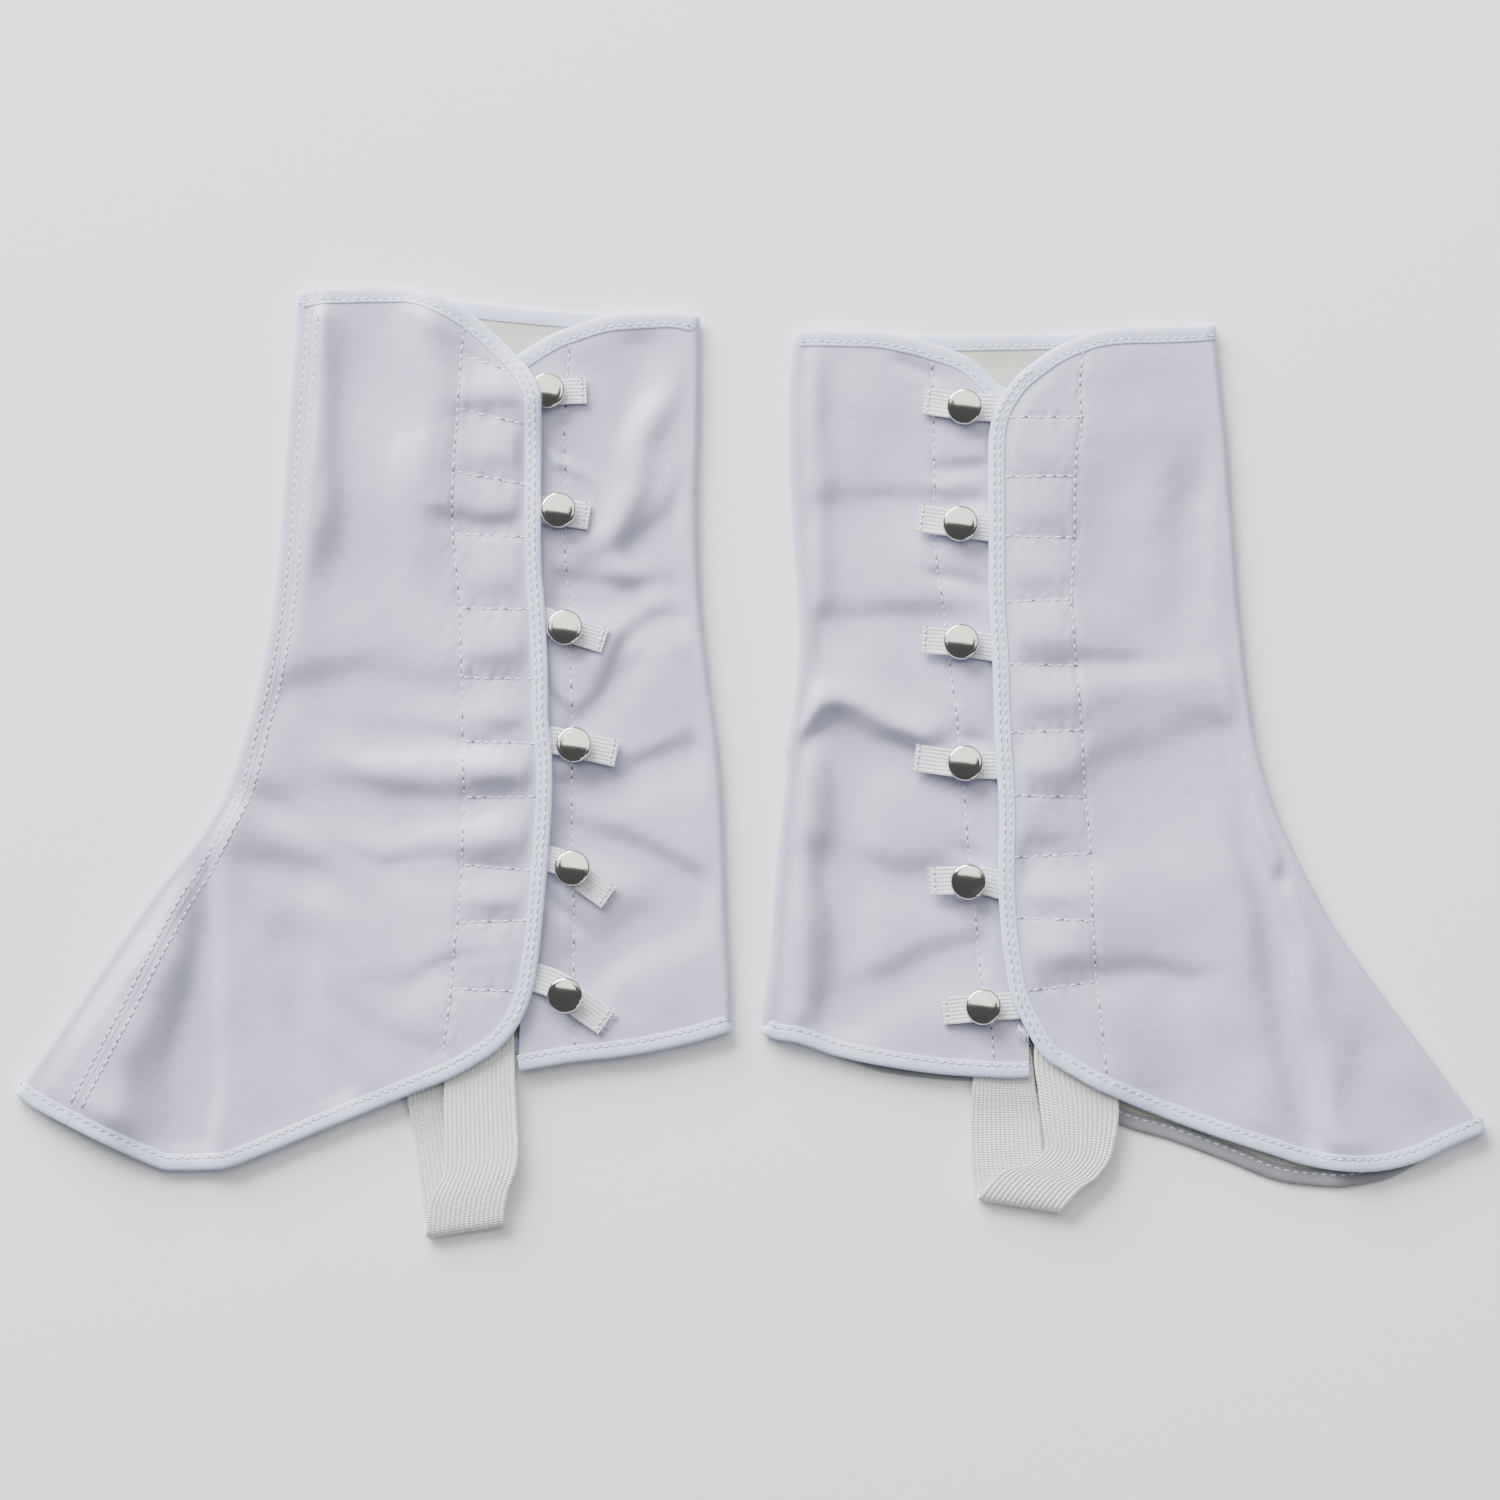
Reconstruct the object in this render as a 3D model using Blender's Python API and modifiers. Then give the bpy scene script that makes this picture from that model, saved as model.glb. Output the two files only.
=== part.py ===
"""A pair of marching spats, laid flat on a table with their button sides up.

Each spat is a flattened tube of vinyl-coated cloth: a front quarter with a button flap, a heel
quarter that passes under the flap, and the inner side that the spat lies on. Its free edges are
bound with tape, six elastic tabs come out under the flap with a domed button on each, and a wide
elastic strap loops under the foot.

The tables are in millimetres, with x to the right and y up the leg, both from the middle of the
pair, and z up from the table. The model is in metres.
"""

import math
from dataclasses import dataclass

import bpy
import numpy as np

MM = 0.001

# Cloth and tape
WALL = 1.2
TAPE_WALL = 1.8
TAPE_WIDTH = 6.0
SEAM_GAP = 0.36
TAPE_SETBACK = TAPE_WIDTH + SEAM_GAP
ELASTIC_WALL = 1.2

# Heights of the middle of each wall above the table
LOWER_LAYER = WALL / 2
LOWER_TAPE = TAPE_WALL / 2
UPPER_LAYER = 4.8
TAPE_PROUD = 0.1
FLAP_LIFT = 3.7
FLAP_FLAT = 20.0
FLAP_SLOPE = 32.0
TAB_GAP = 0.6
TAB_LIFT = (WALL + ELASTIC_WALL) / 2 + TAB_GAP

# Fold round the front and the heel
FOLD_RADIUS = (UPPER_LAYER - LOWER_LAYER) / 2
FOLD_STEPS = 5
BACK_SEAM_INSET = 25.0
CALM_NEAR_FOLD = 14.0

# Buttons
BUTTON_RADIUS = 6.65
BUTTON_HEIGHT = 4.6
BUTTON_STEPS = 14
BUTTON_CALM = 14.0
BUTTON_CALM_FADE = 14.0

# Soft puffs between the flap's rows of stitching
FLAP_PUFF_HALF_WIDTH = 11.0
FLAP_PUFF_HEIGHT = 1.1
FLAP_PUFF_FILL = 0.42
BUTTON_LIFT_SPREAD = 14.0

# Mesh density
ROWS = 22
FRONT_COLUMNS = 12
REAR_COLUMNS = 8
INNER_COLUMNS = 8
CURVE_SAMPLES = 161
SPLINE_STEPS = 12
EDGE_SAMPLES = 1200
TAB_SAMPLES = 7
FOLD_DIRECTION_REACH = 4.0
CORNER_MARGIN = 4.0

# Move from the tables' middle to the middle of the pair's box
SHIFT_X = -0.23
SHIFT_Y = -0.11

# Distance from the front fold to the front seam: share of the fold's length, width
FRONT_SEAM = ((0.0, 3.4), (0.50, 3.4), (0.62, 5.5), (0.72, 9.0), (0.86, 14.0), (1.0, 18.0))

VINYL = ("spat_vinyl", (0.79, 0.80, 0.85, 1.0), 0.42, 0.0)
TAPE = ("spat_tape", (0.80, 0.83, 0.90, 1.0), 0.50, 0.0)
ELASTIC = ("spat_elastic", (0.83, 0.84, 0.81, 1.0), 0.85, 0.0)
NICKEL = ("spat_nickel", (0.78, 0.78, 0.74, 1.0), 0.14, 1.0)

# Outlines of the left spat: x, y
LEFT = {
    "fold": (
        (-167.5, 174.5), (-169.5, 148), (-172, 111), (-174.5, 76), (-178, 47), (-184, 19),
        (-193, -10), (-205, -30), (-218.5, -47), (-233, -68), (-249, -92), (-270.5, -123.5)),
    "front_top": (
        (-167.5, 174.5), (-162, 175.2), (-149, 176.3), (-137.5, 176.5), (-124, 175.4),
        (-107.5, 168), (-97, 160.5)),
    "flap_corner": (-87.5, 151.3),
    "flap": (
        (-81.4, 144), (-77.8, 136.5), (-77.2, 129), (-77.2, 78), (-75.7, 54), (-74.6, 33),
        (-74.4, 16), (-73, 0), (-73, -15), (-74, -32), (-76.4, -61), (-78.4, -77),
        (-81, -89)),
    "hem_corner": (-85.5, -98.8),
    "front_hem": (
        (-92, -106.5), (-100, -112), (-111, -118), (-126, -124), (-156, -136), (-176, -144.3),
        (-191, -150), (-197, -151), (-213.5, -151.3), (-222, -148.7), (-244, -138.5),
        (-263, -128.8), (-270.5, -123.5)),
    "heel": (
        (-19.2, 165.4), (-19.2, 133), (-20, 103.5), (-19.6, 74), (-18, 52), (-15.5, 29),
        (-13.3, 14), (-11.5, -2), (-10.4, -22), (-9.3, -48), (-8.1, -74), (-7.2, -100.3)),
    "rear_top": (
        (-19.2, 165.4), (-30, 167.2), (-47.7, 166.3), (-57, 164.7), (-66, 161.7),
        (-74.4, 158.4), (-86.3, 151), (-103.6, 138.8)),
    "rear_hem": (
        (-7.2, -100.3), (-20.7, -104.3), (-36, -107.7), (-50.5, -110), (-66, -111.7),
        (-84.7, -115)),
    "rear_hidden": ((-104, 60), (-102, -20), (-96, -58), (-85.6, -82)),
    "inner_top": ((-165, 171), (-140, 172), (-117, 172.4), (-80, 168.8), (-49, 165)),
    "inner_hem": (
        (-263, -128), (-244, -135), (-222, -144), (-205, -146.5), (-191, -145), (-176, -139.5),
        (-156, -131), (-126, -119.5), (-100, -110.5), (-66, -107.5), (-36, -104.5)),
}

# Outlines of the right spat: x, y
RIGHT = {
    "fold": (
        (172.4, 162.4), (174.3, 144), (176.5, 122), (178.7, 91), (181.3, 53), (185.5, 15),
        (190, -5), (197, -25.5), (211.5, -55), (222.5, -72), (235, -89.5), (248.5, -107.5),
        (262, -126), (270.5, -137.3)),
    "front_top": (
        (172.4, 162.4), (162, 161.6), (149.5, 161), (135.4, 160.2), (126, 158.4),
        (114.3, 153.7)),
    "flap_corner": (104.7, 147.3),
    "flap": (
        (98.5, 142), (94, 136), (90.7, 130), (88.9, 123), (88.3, 113.6), (88.3, 82), (88.3, 59),
        (89.5, 38), (90.3, 11), (91.8, -19), (91.4, -44), (92.5, -64), (94, -76),
        (95.8, -86.6), (99.2, -95)),
    "hem_corner": (105, -106),
    "front_hem": (
        (109.5, -111.2), (115, -114.7), (126, -121), (136, -125.4), (147.5, -130.2),
        (168.7, -138), (190, -145), (204, -149.4), (218.3, -151.7), (232.4, -151.5),
        (246.6, -148), (258, -142.6), (270.5, -137.3)),
    "heel": (
        (17.4, 160.2), (15.2, 140.6), (15, 107), (16.7, 81), (18.1, 59), (18.3, 41), (16.7, 20),
        (13.5, 5), (14, -4), (11.5, -26), (9.3, -50), (8.1, -70), (6.3, -83.3),
        (4.3, -100.6)),
    "rear_top": (
        (17.4, 160.2), (43.5, 159.8), (55, 158.4), (67, 155.4), (78.8, 151.3), (86, 146.5),
        (94.2, 139), (112, 130)),
    "rear_hem": (
        (4.3, -100.6), (9, -103.2), (17.7, -104.6), (31.8, -109.4), (47.7, -112.8), (70, -116),
        (94, -117.5), (102.8, -117.2)),
    "rear_hidden": ((112, 40), (111, -10), (107, -55), (102.8, -85)),
    "inner_top": ((162, 159.5), (124, 159.6), (69.4, 158.9), (43, 157)),
    "inner_hem": (
        (18, -106), (32, -111), (48, -114.7), (70, -117.7), (94, -118.8), (110, -122),
        (136, -134.5), (155, -140.2), (176, -148), (194, -155), (213, -157.4), (222.6, -157),
        (236, -154)),
}

# Folds and puffs of the upper side, as soft ridges (height over 0) and troughs (under 0):
# from x, y, to x, y, half width, height
LEFT_FRONT_FOLDS = (
    (-198, -52, -204, -149, 6, 1.6), (-190, -63, -197, -144, 5, -1.2),
    (-207, -60, -214, -140, 6, -1.0), (-116.5, 159, -117, 104, 9, -1.3),
    (-152, 39, -112, 36, 5, -1.1), (-150, 15, -112, 13, 5, -1.3),
    (-146, -9, -112, -10, 5, -1.1), (-140, -41, -112, -39, 5, -0.9),
    (-163, -107, -155, -118, 8, -1.0), (-140, 60, -150, 100, 12, 0.9))
LEFT_REAR_FOLDS = (
    (-65, 64.5, -45, 64.5, 5, -1.2), (-27.5, 54.5, -58, 18, 6, -1.5),
    (-18, 10, -52, -8.5, 5, -1.2), (-54, -26, -28, -40, 5, -1.1),
    (-51, -60, -39.5, -78, 6, -1.1), (-56, 122, -39, 122, 8, -1.0),
    (-24, 110.5, -48, 88, 8, 1.2))
RIGHT_REAR_FOLDS = (
    (22, 11, 60, 11, 5, -1.5), (26, -7, 26, -92, 5, -1.3), (41.5, -19.5, 60, -33.5, 6, -1.1),
    (76, -62, 53, -75, 6, -1.0), (31.5, 99.5, 57.5, 95, 7, -1.1), (44.5, 70, 66, 70, 9, 1.2))
RIGHT_FRONT_FOLDS = (
    (128, 22, 166, 22, 7, 1.3), (134, 11, 172, 11, 6, -1.4), (190, -24, 198, -56, 6, -1.3),
    (198, -56, 207, -87, 6, -1.3), (207, -87, 219, -142, 6, -1.3), (207, -50, 224, -128, 7, 1.1),
    (150, 60, 142, 110, 12, 0.9))

# Rows of stitching across each flap: y of each row, then x of the flap's middle
LEFT_FLAP_ROWS = (147, 127, 104, 83, 55.5, 30, 6.5, -14, -40, -60, -85)
RIGHT_FLAP_ROWS = (127, 105, 82.5, 59, 35, 10.5, -13.5, -35.5, -59, -84)
LEFT_FLAP_MIDDLE = -93.0
RIGHT_FLAP_MIDDLE = 105.5

# Elastic tabs, centre line from under the flap to the sewn end: width, then x, y of each point
LEFT_TABS = (
    (9.6, ((-83, 135.8), (-75.9, 136.5), (-60.7, 137.2))),
    (10.0, ((-83, 93.4), (-71.6, 92.1), (-59.6, 90.3))),
    (9.5, ((-83, 54.6), (-68.8, 48.8), (-53.7, 44))),
    (10.0, ((-81, 8.6), (-65.1, 5.6), (-49.2, 2.2))),
    (9.5, ((-80.5, -35.8), (-70, -38), (-61.5, -44.5), (-52.2, -51))),
    (10.5, ((-84, -79), (-71, -83.4), (-63, -90), (-53, -97))),
)
RIGHT_TABS = (
    (10.2, ((95, 130.6), (79.7, 131.4), (64.6, 133.6))),
    (10.0, ((96, 85), (77.9, 87.4), (62.2, 89.7))),
    (10.0, ((96, 40.5), (78.1, 43.2), (63.4, 44.4))),
    (10.0, ((97, -2.4), (79.4, -1.8), (60.7, 0.7))),
    (10.3, ((98, -48.4), (88, -45.2), (80.5, -44.6), (66.6, -45))),
    (10.0, ((102.5, -90.5), (85.8, -91.6), (70.9, -92.9))),
)

# Buttons: x, y, lean towards +x in degrees, lift of the flap edge that lies on the button
LEFT_BUTTONS = (
    (-74.6, 136.3, 4, 6.8), (-70.8, 92.1, 8, 2.8), (-68.4, 48.5, 8, 0), (-65.1, 5.2, 8, 0),
    (-65.5, -40.3, 4, 0), (-67.9, -86.8, 0, 0))
RIGHT_BUTTONS = (
    (79.7, 131.1, 0, 0), (77.9, 87.4, 0, 0), (78.1, 43.4, 0, 0), (79.4, -1.5, 0, 0),
    (80.5, -45, 0, 0), (85.8, -91.4, 0, 0))

# Strap under the foot, from inside the front hem to inside the inner hem:
# x and y of one edge, x and y of the other, z
LEFT_STRAP = (
    (-112.5, -107, -87.2, -93, 5.4), (-112.6, -119.5, -86.9, -101, 5.4),
    (-112.5, -131.5, -86.5, -118.5, 5.2), (-112.3, -145, -85.7, -134.3, 5.0),
    (-112.9, -153, -85.2, -143, 5.3), (-115.8, -158.7, -86, -150.6, 5.6),
    (-118, -164, -88.8, -159, 5.5), (-118.8, -171, -90.3, -166.5, 4.9),
    (-119, -174.6, -90.3, -170.2, 4.1), (-119, -175.6, -90.3, -171.3, 2.6),
    (-119.2, -174.4, -90.6, -170, 1.2), (-119.6, -171, -91.4, -166.5, 0.62),
    (-121.7, -155.5, -94.3, -150, 0.62), (-124, -139, -97, -133, 0.62),
    (-126.2, -125.5, -98.8, -120.3, 2.6), (-127.5, -113, -100.5, -106, 2.8))
RIGHT_STRAP = (
    (106, -95, 134, -112, 5.4), (104.6, -109.5, 135.4, -125.8, 5.4),
    (106.2, -122.8, 135.6, -131, 5.2), (107.7, -135.4, 134.7, -138.4, 5.0),
    (108.8, -143.2, 132.2, -147.6, 5.0), (102.5, -149, 127.3, -154.2, 5.2),
    (94, -151, 123.8, -156.5, 5.4), (90, -154, 120.8, -158.8, 5.4),
    (86.6, -157.8, 117, -163, 5.2), (84.4, -160.8, 114.9, -165.7, 4.3),
    (83.9, -161.8, 114.2, -166.6, 2.7), (83.6, -161, 113.8, -165.6, 1.2),
    (82.4, -157.3, 111, -159.8, 0.62), (81.3, -145.8, 108, -144.8, 0.62),
    (81.3, -131, 107, -131.4, 0.8), (82, -120.5, 105.2, -121, 2.6),
    (82.5, -107, 103.5, -106, 2.8))


def smooth_step(value):
    """Ease from 0 to 1 with level ends."""
    clipped = np.clip(value, 0.0, 1.0)
    return clipped * clipped * (3.0 - 2.0 * clipped)


def path_length(points):
    """Distance from the first point to each point of a path."""
    steps = np.linalg.norm(np.diff(points, axis=0), axis=1)
    return np.concatenate(([0.0], np.cumsum(steps)))


def at_lengths(points, lengths):
    """Points of a path at the given distances along it."""
    along = path_length(points)
    return np.stack([np.interp(lengths, along, points[:, axis])
                     for axis in range(points.shape[1])], axis=1)


def smooth_path(points, samples=CURVE_SAMPLES):
    """Even samples of a Catmull-Rom curve through the points."""
    knots = np.asarray(points, dtype=float)
    before = 2 * knots[0] - knots[1]
    after = 2 * knots[-1] - knots[-2]
    row = np.vstack([before, knots, after])
    t = np.linspace(0.0, 1.0, SPLINE_STEPS, endpoint=False)[:, None]
    spans = []
    for a, b, c, d in zip(row[:-3], row[1:-2], row[2:-1], row[3:]):
        spans.append(0.5 * (2 * b + (c - a) * t + (2 * a - 5 * b + 4 * c - d) * t ** 2
                            + (3 * b - a - 3 * c + d) * t ** 3))
    dense = np.vstack(spans + [knots[-1:]])
    return at_lengths(dense, np.linspace(0.0, path_length(dense)[-1], samples))


def inward_normals(path, middle):
    """Unit normals of a plan path, all on the side where the middle point lies."""
    tangent = np.gradient(path, axis=0)
    tangent /= np.linalg.norm(tangent, axis=1)[:, None]
    normal = np.stack([-tangent[:, 1], tangent[:, 0]], axis=1)
    centre = len(path) // 2
    if np.dot(normal[centre], np.asarray(middle) - path[centre]) < 0:
        normal = -normal
    return normal


def at_share(path, share):
    """Points of an evenly sampled path at shares of its length from 0 to 1."""
    places = np.linspace(0.0, 1.0, len(path))
    return np.stack([np.interp(share, places, path[:, axis])
                     for axis in range(path.shape[1])], axis=-1)


@dataclass
class Quarter:
    """One cloth quarter in plan, between a fold line, a far edge, a top and a hem.

    The fold line already lies a fold radius inside the outline. Each bound edge has an outline,
    and the cloth itself ends a tape's width inside it.
    """

    fold: np.ndarray
    far: np.ndarray
    top: np.ndarray
    hem: np.ndarray
    top_outline: np.ndarray
    hem_outline: np.ndarray
    far_outline: np.ndarray

    def row_lengths(self, v):
        """Straight distance across the quarter at each share v of its height."""
        return np.linalg.norm(at_share(self.far, v) - at_share(self.fold, v), axis=-1)

    def point(self, u, v):
        """Coons patch: u runs from the fold to the far edge, v from the top to the hem."""
        across = u[..., None]
        down = v[..., None]
        sides = (1 - across) * at_share(self.fold, v) + across * at_share(self.far, v)
        ends = (1 - down) * at_share(self.top, u) + down * at_share(self.hem, u)
        corners = ((1 - across) * (1 - down) * self.fold[0] + across * (1 - down) * self.far[0]
                   + (1 - across) * down * self.fold[-1] + across * down * self.far[-1])
        return sides + ends - corners

    def rows(self, u):
        """Plan points of all rows at the shares u, one row of u for each cloth row.

        The first and last two rows are the tapes' outer and inner edges.
        """
        v = np.repeat(np.linspace(0.0, 1.0, ROWS + 1)[:, None], u.shape[1], axis=1)
        cloth = self.point(u, v)
        share = TAPE_WIDTH / TAPE_SETBACK
        top_outer = at_share(self.top_outline, u[0])
        hem_outer = at_share(self.hem_outline, u[-1])
        top_inner = top_outer + (cloth[0] - top_outer) * share
        hem_inner = hem_outer + (cloth[-1] - hem_outer) * share
        return np.concatenate([[top_outer], [top_inner], cloth, [hem_inner], [hem_outer]])


def trimmed_fold(outline, middle, start, end):
    """Fold line a fold radius inside its outline, from one corner point to the other."""
    path = smooth_path(outline)
    inner = path + inward_normals(path, middle) * FOLD_RADIUS
    length = path_length(inner)[-1]
    kept = at_lengths(inner, np.linspace(TAPE_SETBACK, length - TAPE_SETBACK, CURVE_SAMPLES))
    kept[0] = start
    kept[-1] = end
    return at_lengths(kept, np.linspace(0.0, path_length(kept)[-1], CURVE_SAMPLES))


def front_quarter(outline):
    """Front quarter: its top, flap edge and hem are one bound edge with round corners."""
    knots = (outline["front_top"] + (outline["flap_corner"],) + outline["flap"]
             + (outline["hem_corner"],) + outline["front_hem"])
    path = smooth_path(knots, samples=EDGE_SAMPLES)
    along = path_length(path)
    middle = (np.mean(outline["flap"], axis=0) + np.mean(outline["fold"], axis=0)) / 2
    tangent = np.gradient(path, axis=0)
    tangent /= np.linalg.norm(tangent, axis=1)[:, None]
    turn = 1.0 if outline["flap"][0][0] > outline["fold"][0][0] else -1.0
    inward = np.stack([tangent[:, 1], -tangent[:, 0]], axis=1) * turn
    inner = path + inward * TAPE_SETBACK
    corners = []
    for name in ("flap_corner", "hem_corner"):
        nearest = np.argmin(np.linalg.norm(path - np.asarray(outline[name]), axis=1))
        corners.append(along[nearest])
    spans = ((FOLD_RADIUS, corners[0]), (corners[0], corners[1]),
             (along[-1] - FOLD_RADIUS, corners[1]))
    outer_edges = []
    inner_edges = []
    for first, last in spans:
        places = np.linspace(first, last, CURVE_SAMPLES)
        outer_edges.append(np.stack([np.interp(places, along, path[:, k]) for k in (0, 1)], 1))
        inner_edges.append(np.stack([np.interp(places, along, inner[:, k]) for k in (0, 1)], 1))
    fold = trimmed_fold(outline["fold"], middle, inner_edges[0][0], inner_edges[2][0])
    return Quarter(fold=fold, far=inner_edges[1], top=inner_edges[0], hem=inner_edges[2],
                   top_outline=outer_edges[0], hem_outline=outer_edges[2],
                   far_outline=outer_edges[1])


def bound_edge(knots, middle):
    """Outline of a bound edge from a fold radius inside its start, and the cloth's own edge."""
    path = smooth_path(knots)
    length = path_length(path)[-1]
    outer = at_lengths(path, np.linspace(FOLD_RADIUS, length, CURVE_SAMPLES))
    return outer, outer + inward_normals(outer, middle) * TAPE_SETBACK


def rear_quarter(outline):
    """Heel quarter: bound at the top and the hem, with a raw edge hidden under the flap."""
    middle = np.mean(outline["heel"] + outline["rear_hidden"], axis=0)
    top_outline, top = bound_edge(outline["rear_top"], middle)
    hem_outline, hem = bound_edge(outline["rear_hem"], middle)
    fold = trimmed_fold(outline["heel"], middle, top[0], hem[0])
    far = smooth_path((tuple(top[-1]),) + outline["rear_hidden"] + (tuple(hem[-1]),))
    return Quarter(fold=fold, far=far, top=top, hem=hem, top_outline=top_outline,
                   hem_outline=hem_outline, far_outline=far)


def inner_quarter(front_side, back_side, outline):
    """Inner side of the leg, flat on the table, between its front and back lines in plan.

    Both lines run from the outline at the top to the outline at the hem.
    """
    middle = (front_side[len(front_side) // 2] + back_side[len(back_side) // 2]) / 2
    top_knots = np.vstack([front_side[:1], inside(outline["inner_top"], front_side, back_side),
                           back_side[:1]])
    hem_knots = np.vstack([front_side[-1:],
                           inside(outline["inner_hem"], front_side, back_side),
                           back_side[-1:]])
    top_outline = smooth_path(top_knots)
    hem_outline = smooth_path(hem_knots)
    top = top_outline + inward_normals(top_outline, middle) * TAPE_SETBACK
    hem = hem_outline + inward_normals(hem_outline, middle) * TAPE_SETBACK
    sides = []
    for side, index in ((front_side, 0), (back_side, -1)):
        length = path_length(side)[-1]
        kept = at_lengths(side, np.linspace(TAPE_SETBACK, length - TAPE_SETBACK,
                                            CURVE_SAMPLES))
        top[index] = kept[0]
        hem[index] = kept[-1]
        sides.append(kept)
    return Quarter(fold=sides[0], far=sides[1], top=top, hem=hem, top_outline=top_outline,
                   hem_outline=hem_outline, far_outline=sides[1])


def inside(points, front_side, back_side):
    """The points that lie between the ends of two side lines, ordered from front to back."""
    array = np.asarray(points, dtype=float)
    end = 0 if array[0, 1] > 0 else -1
    low, high = sorted((front_side[end, 0], back_side[end, 0]))
    kept = array[(array[:, 0] > low + CORNER_MARGIN) & (array[:, 0] < high - CORNER_MARGIN)]
    order = np.argsort(kept[:, 0])
    if front_side[end, 0] > back_side[end, 0]:
        order = order[::-1]
    return kept[order]


def seam_widths(table):
    """Width of a wrapped strip at each cloth row, from a table of shares and widths."""
    rows = np.asarray(table)
    return np.interp(np.linspace(0.0, 1.0, ROWS + 1), rows[:, 0], rows[:, 1])


def with_tape_rows(values):
    """Repeat the first and last value for the tape's two rows at each end."""
    return np.concatenate([values[:1], values[:1], values, values[-1:], values[-1:]])


def strip_shares(quarter, widths, columns):
    """Shares u of the columns of a strip beside the fold, at each cloth row."""
    v = np.linspace(0.0, 1.0, ROWS + 1)
    reach = widths / quarter.row_lengths(v)
    return reach[:, None] * np.linspace(0.0, 1.0, columns + 1)[None, :]


def fold_columns(quarter, tape_lift):
    """Points and outward normals round the fold, from just under the top to just above the
    underside, for all rows."""
    u = np.zeros((ROWS + 1, 2))
    u[:, 1] = FOLD_DIRECTION_REACH / quarter.row_lengths(np.linspace(0.0, 1.0, ROWS + 1))
    plan = quarter.rows(u)
    start = plan[:, 0]
    outward = start - plan[:, 1]
    outward[:2] = outward[2]
    outward[-2:] = outward[-3]
    outward /= np.linalg.norm(outward, axis=1)[:, None]
    angles = np.linspace(math.pi / 2, -math.pi / 2, FOLD_STEPS + 1)[1:-1]
    middle = (UPPER_LAYER + LOWER_LAYER) / 2
    radius = np.full(len(plan), FOLD_RADIUS)
    radius[:2] += tape_lift
    radius[-2:] += tape_lift
    points = np.zeros((len(plan), len(angles), 3))
    for column, angle in enumerate(angles):
        points[:, column, :2] = start + outward * (radius * math.cos(angle))[:, None]
        points[:, column, 2] = middle + radius * math.sin(angle)
    return points


def upper_columns(quarter, u, height, tape_lift):
    """Points of upper-side columns at the shares u, with their heights."""
    plan = quarter.rows(u)
    z = height(plan, with_tape_rows(u), with_tape_rows(
        np.linspace(0.0, 1.0, ROWS + 1)[:, None] * np.ones((1, u.shape[1]))))
    z[:2] = z[2] + tape_lift
    z[-2:] = z[-3] + tape_lift
    return np.dstack([plan, z])


def lower_columns(quarter, u, tape_height):
    """Points of columns that lie on the table."""
    plan = quarter.rows(u)
    z = np.full(plan.shape[:2], LOWER_LAYER)
    z[:2] = tape_height
    z[-2:] = tape_height
    return np.dstack([plan, z])


def crease_relief(plan, creases):
    """Sum of soft ridges and troughs along straight lines, at plan points."""
    relief = np.zeros(plan.shape[:-1])
    for x0, y0, x1, y1, half_width, height in creases:
        start = np.array((x0, y0), dtype=float)
        span = np.array((x1, y1), dtype=float) - start
        share = np.clip(((plan - start) @ span) / (span @ span), 0.0, 1.0)
        gap = np.linalg.norm(plan - start - share[..., None] * span, axis=-1)
        relief += height * np.exp(-(gap / half_width) ** 2)
    return relief


def puff_relief(plan, rows, middle):
    """Soft puffs of the padded flap, one between each two rows of stitching."""
    relief = np.zeros(plan.shape[:-1])
    for upper, lower in zip(rows[:-1], rows[1:]):
        across = (plan[..., 0] - middle) / FLAP_PUFF_HALF_WIDTH
        down = (plan[..., 1] - (upper + lower) / 2) / ((upper - lower) * FLAP_PUFF_FILL)
        relief += FLAP_PUFF_HEIGHT * np.exp(-across ** 2 - down ** 2)
    return relief


def front_height(quarter, creases, flap_rows, flap_middle, buttons):
    """Height of the front quarter: low at the fold, lifted over the heel quarter's edge."""
    def height(plan, u, v):
        from_far = (1 - u) * quarter.row_lengths(v)
        lift = FLAP_LIFT * (1 - smooth_step((from_far - FLAP_FLAT) / FLAP_SLOPE))
        calm = smooth_step(u * quarter.row_lengths(v) / CALM_NEAR_FOLD)
        relief = crease_relief(plan, creases) + puff_relief(plan, flap_rows, flap_middle)
        for x, y, _, rise in buttons:
            gap = np.linalg.norm(plan - np.array((x, y)), axis=-1)
            relief += rise * np.exp(-(gap / BUTTON_LIFT_SPREAD) ** 2)
        return UPPER_LAYER + lift + calm * relief
    return height


def rear_height(quarter, creases, flap_side, buttons):
    """Height of the heel quarter: level under the flap and where the tabs are sewn."""
    direction = math.copysign(1.0, flap_side)

    def height(plan, u, v):
        calm = smooth_step(u * quarter.row_lengths(v) / CALM_NEAR_FOLD)
        calm = calm * smooth_step((flap_side - plan[..., 0]) * direction / CALM_NEAR_FOLD)
        for x, y, _, _ in buttons:
            gap = np.linalg.norm(plan - np.array((x, y)), axis=-1)
            calm = calm * smooth_step((gap - BUTTON_CALM) / BUTTON_CALM_FADE)
        return UPPER_LAYER + calm * crease_relief(plan, creases)
    return height


def new_material(name, colour, roughness, metallic):
    """Principled material with one colour."""
    material = bpy.data.materials.get(name)
    if material is None:
        material = bpy.data.materials.new(name)
        material.use_nodes = True
        shader = material.node_tree.nodes["Principled BSDF"]
        shader.inputs["Base Color"].default_value = colour
        shader.inputs["Roughness"].default_value = roughness
        shader.inputs["Metallic"].default_value = metallic
        material.diffuse_color = colour
    return material


def new_object(collection, name, mesh, finish):
    """Object of a mesh in the collection, with its material."""
    mesh.materials.append(new_material(*finish))
    mesh.shade_smooth()
    piece = bpy.data.objects.new(name, mesh)
    collection.objects.link(piece)
    return piece


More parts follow.
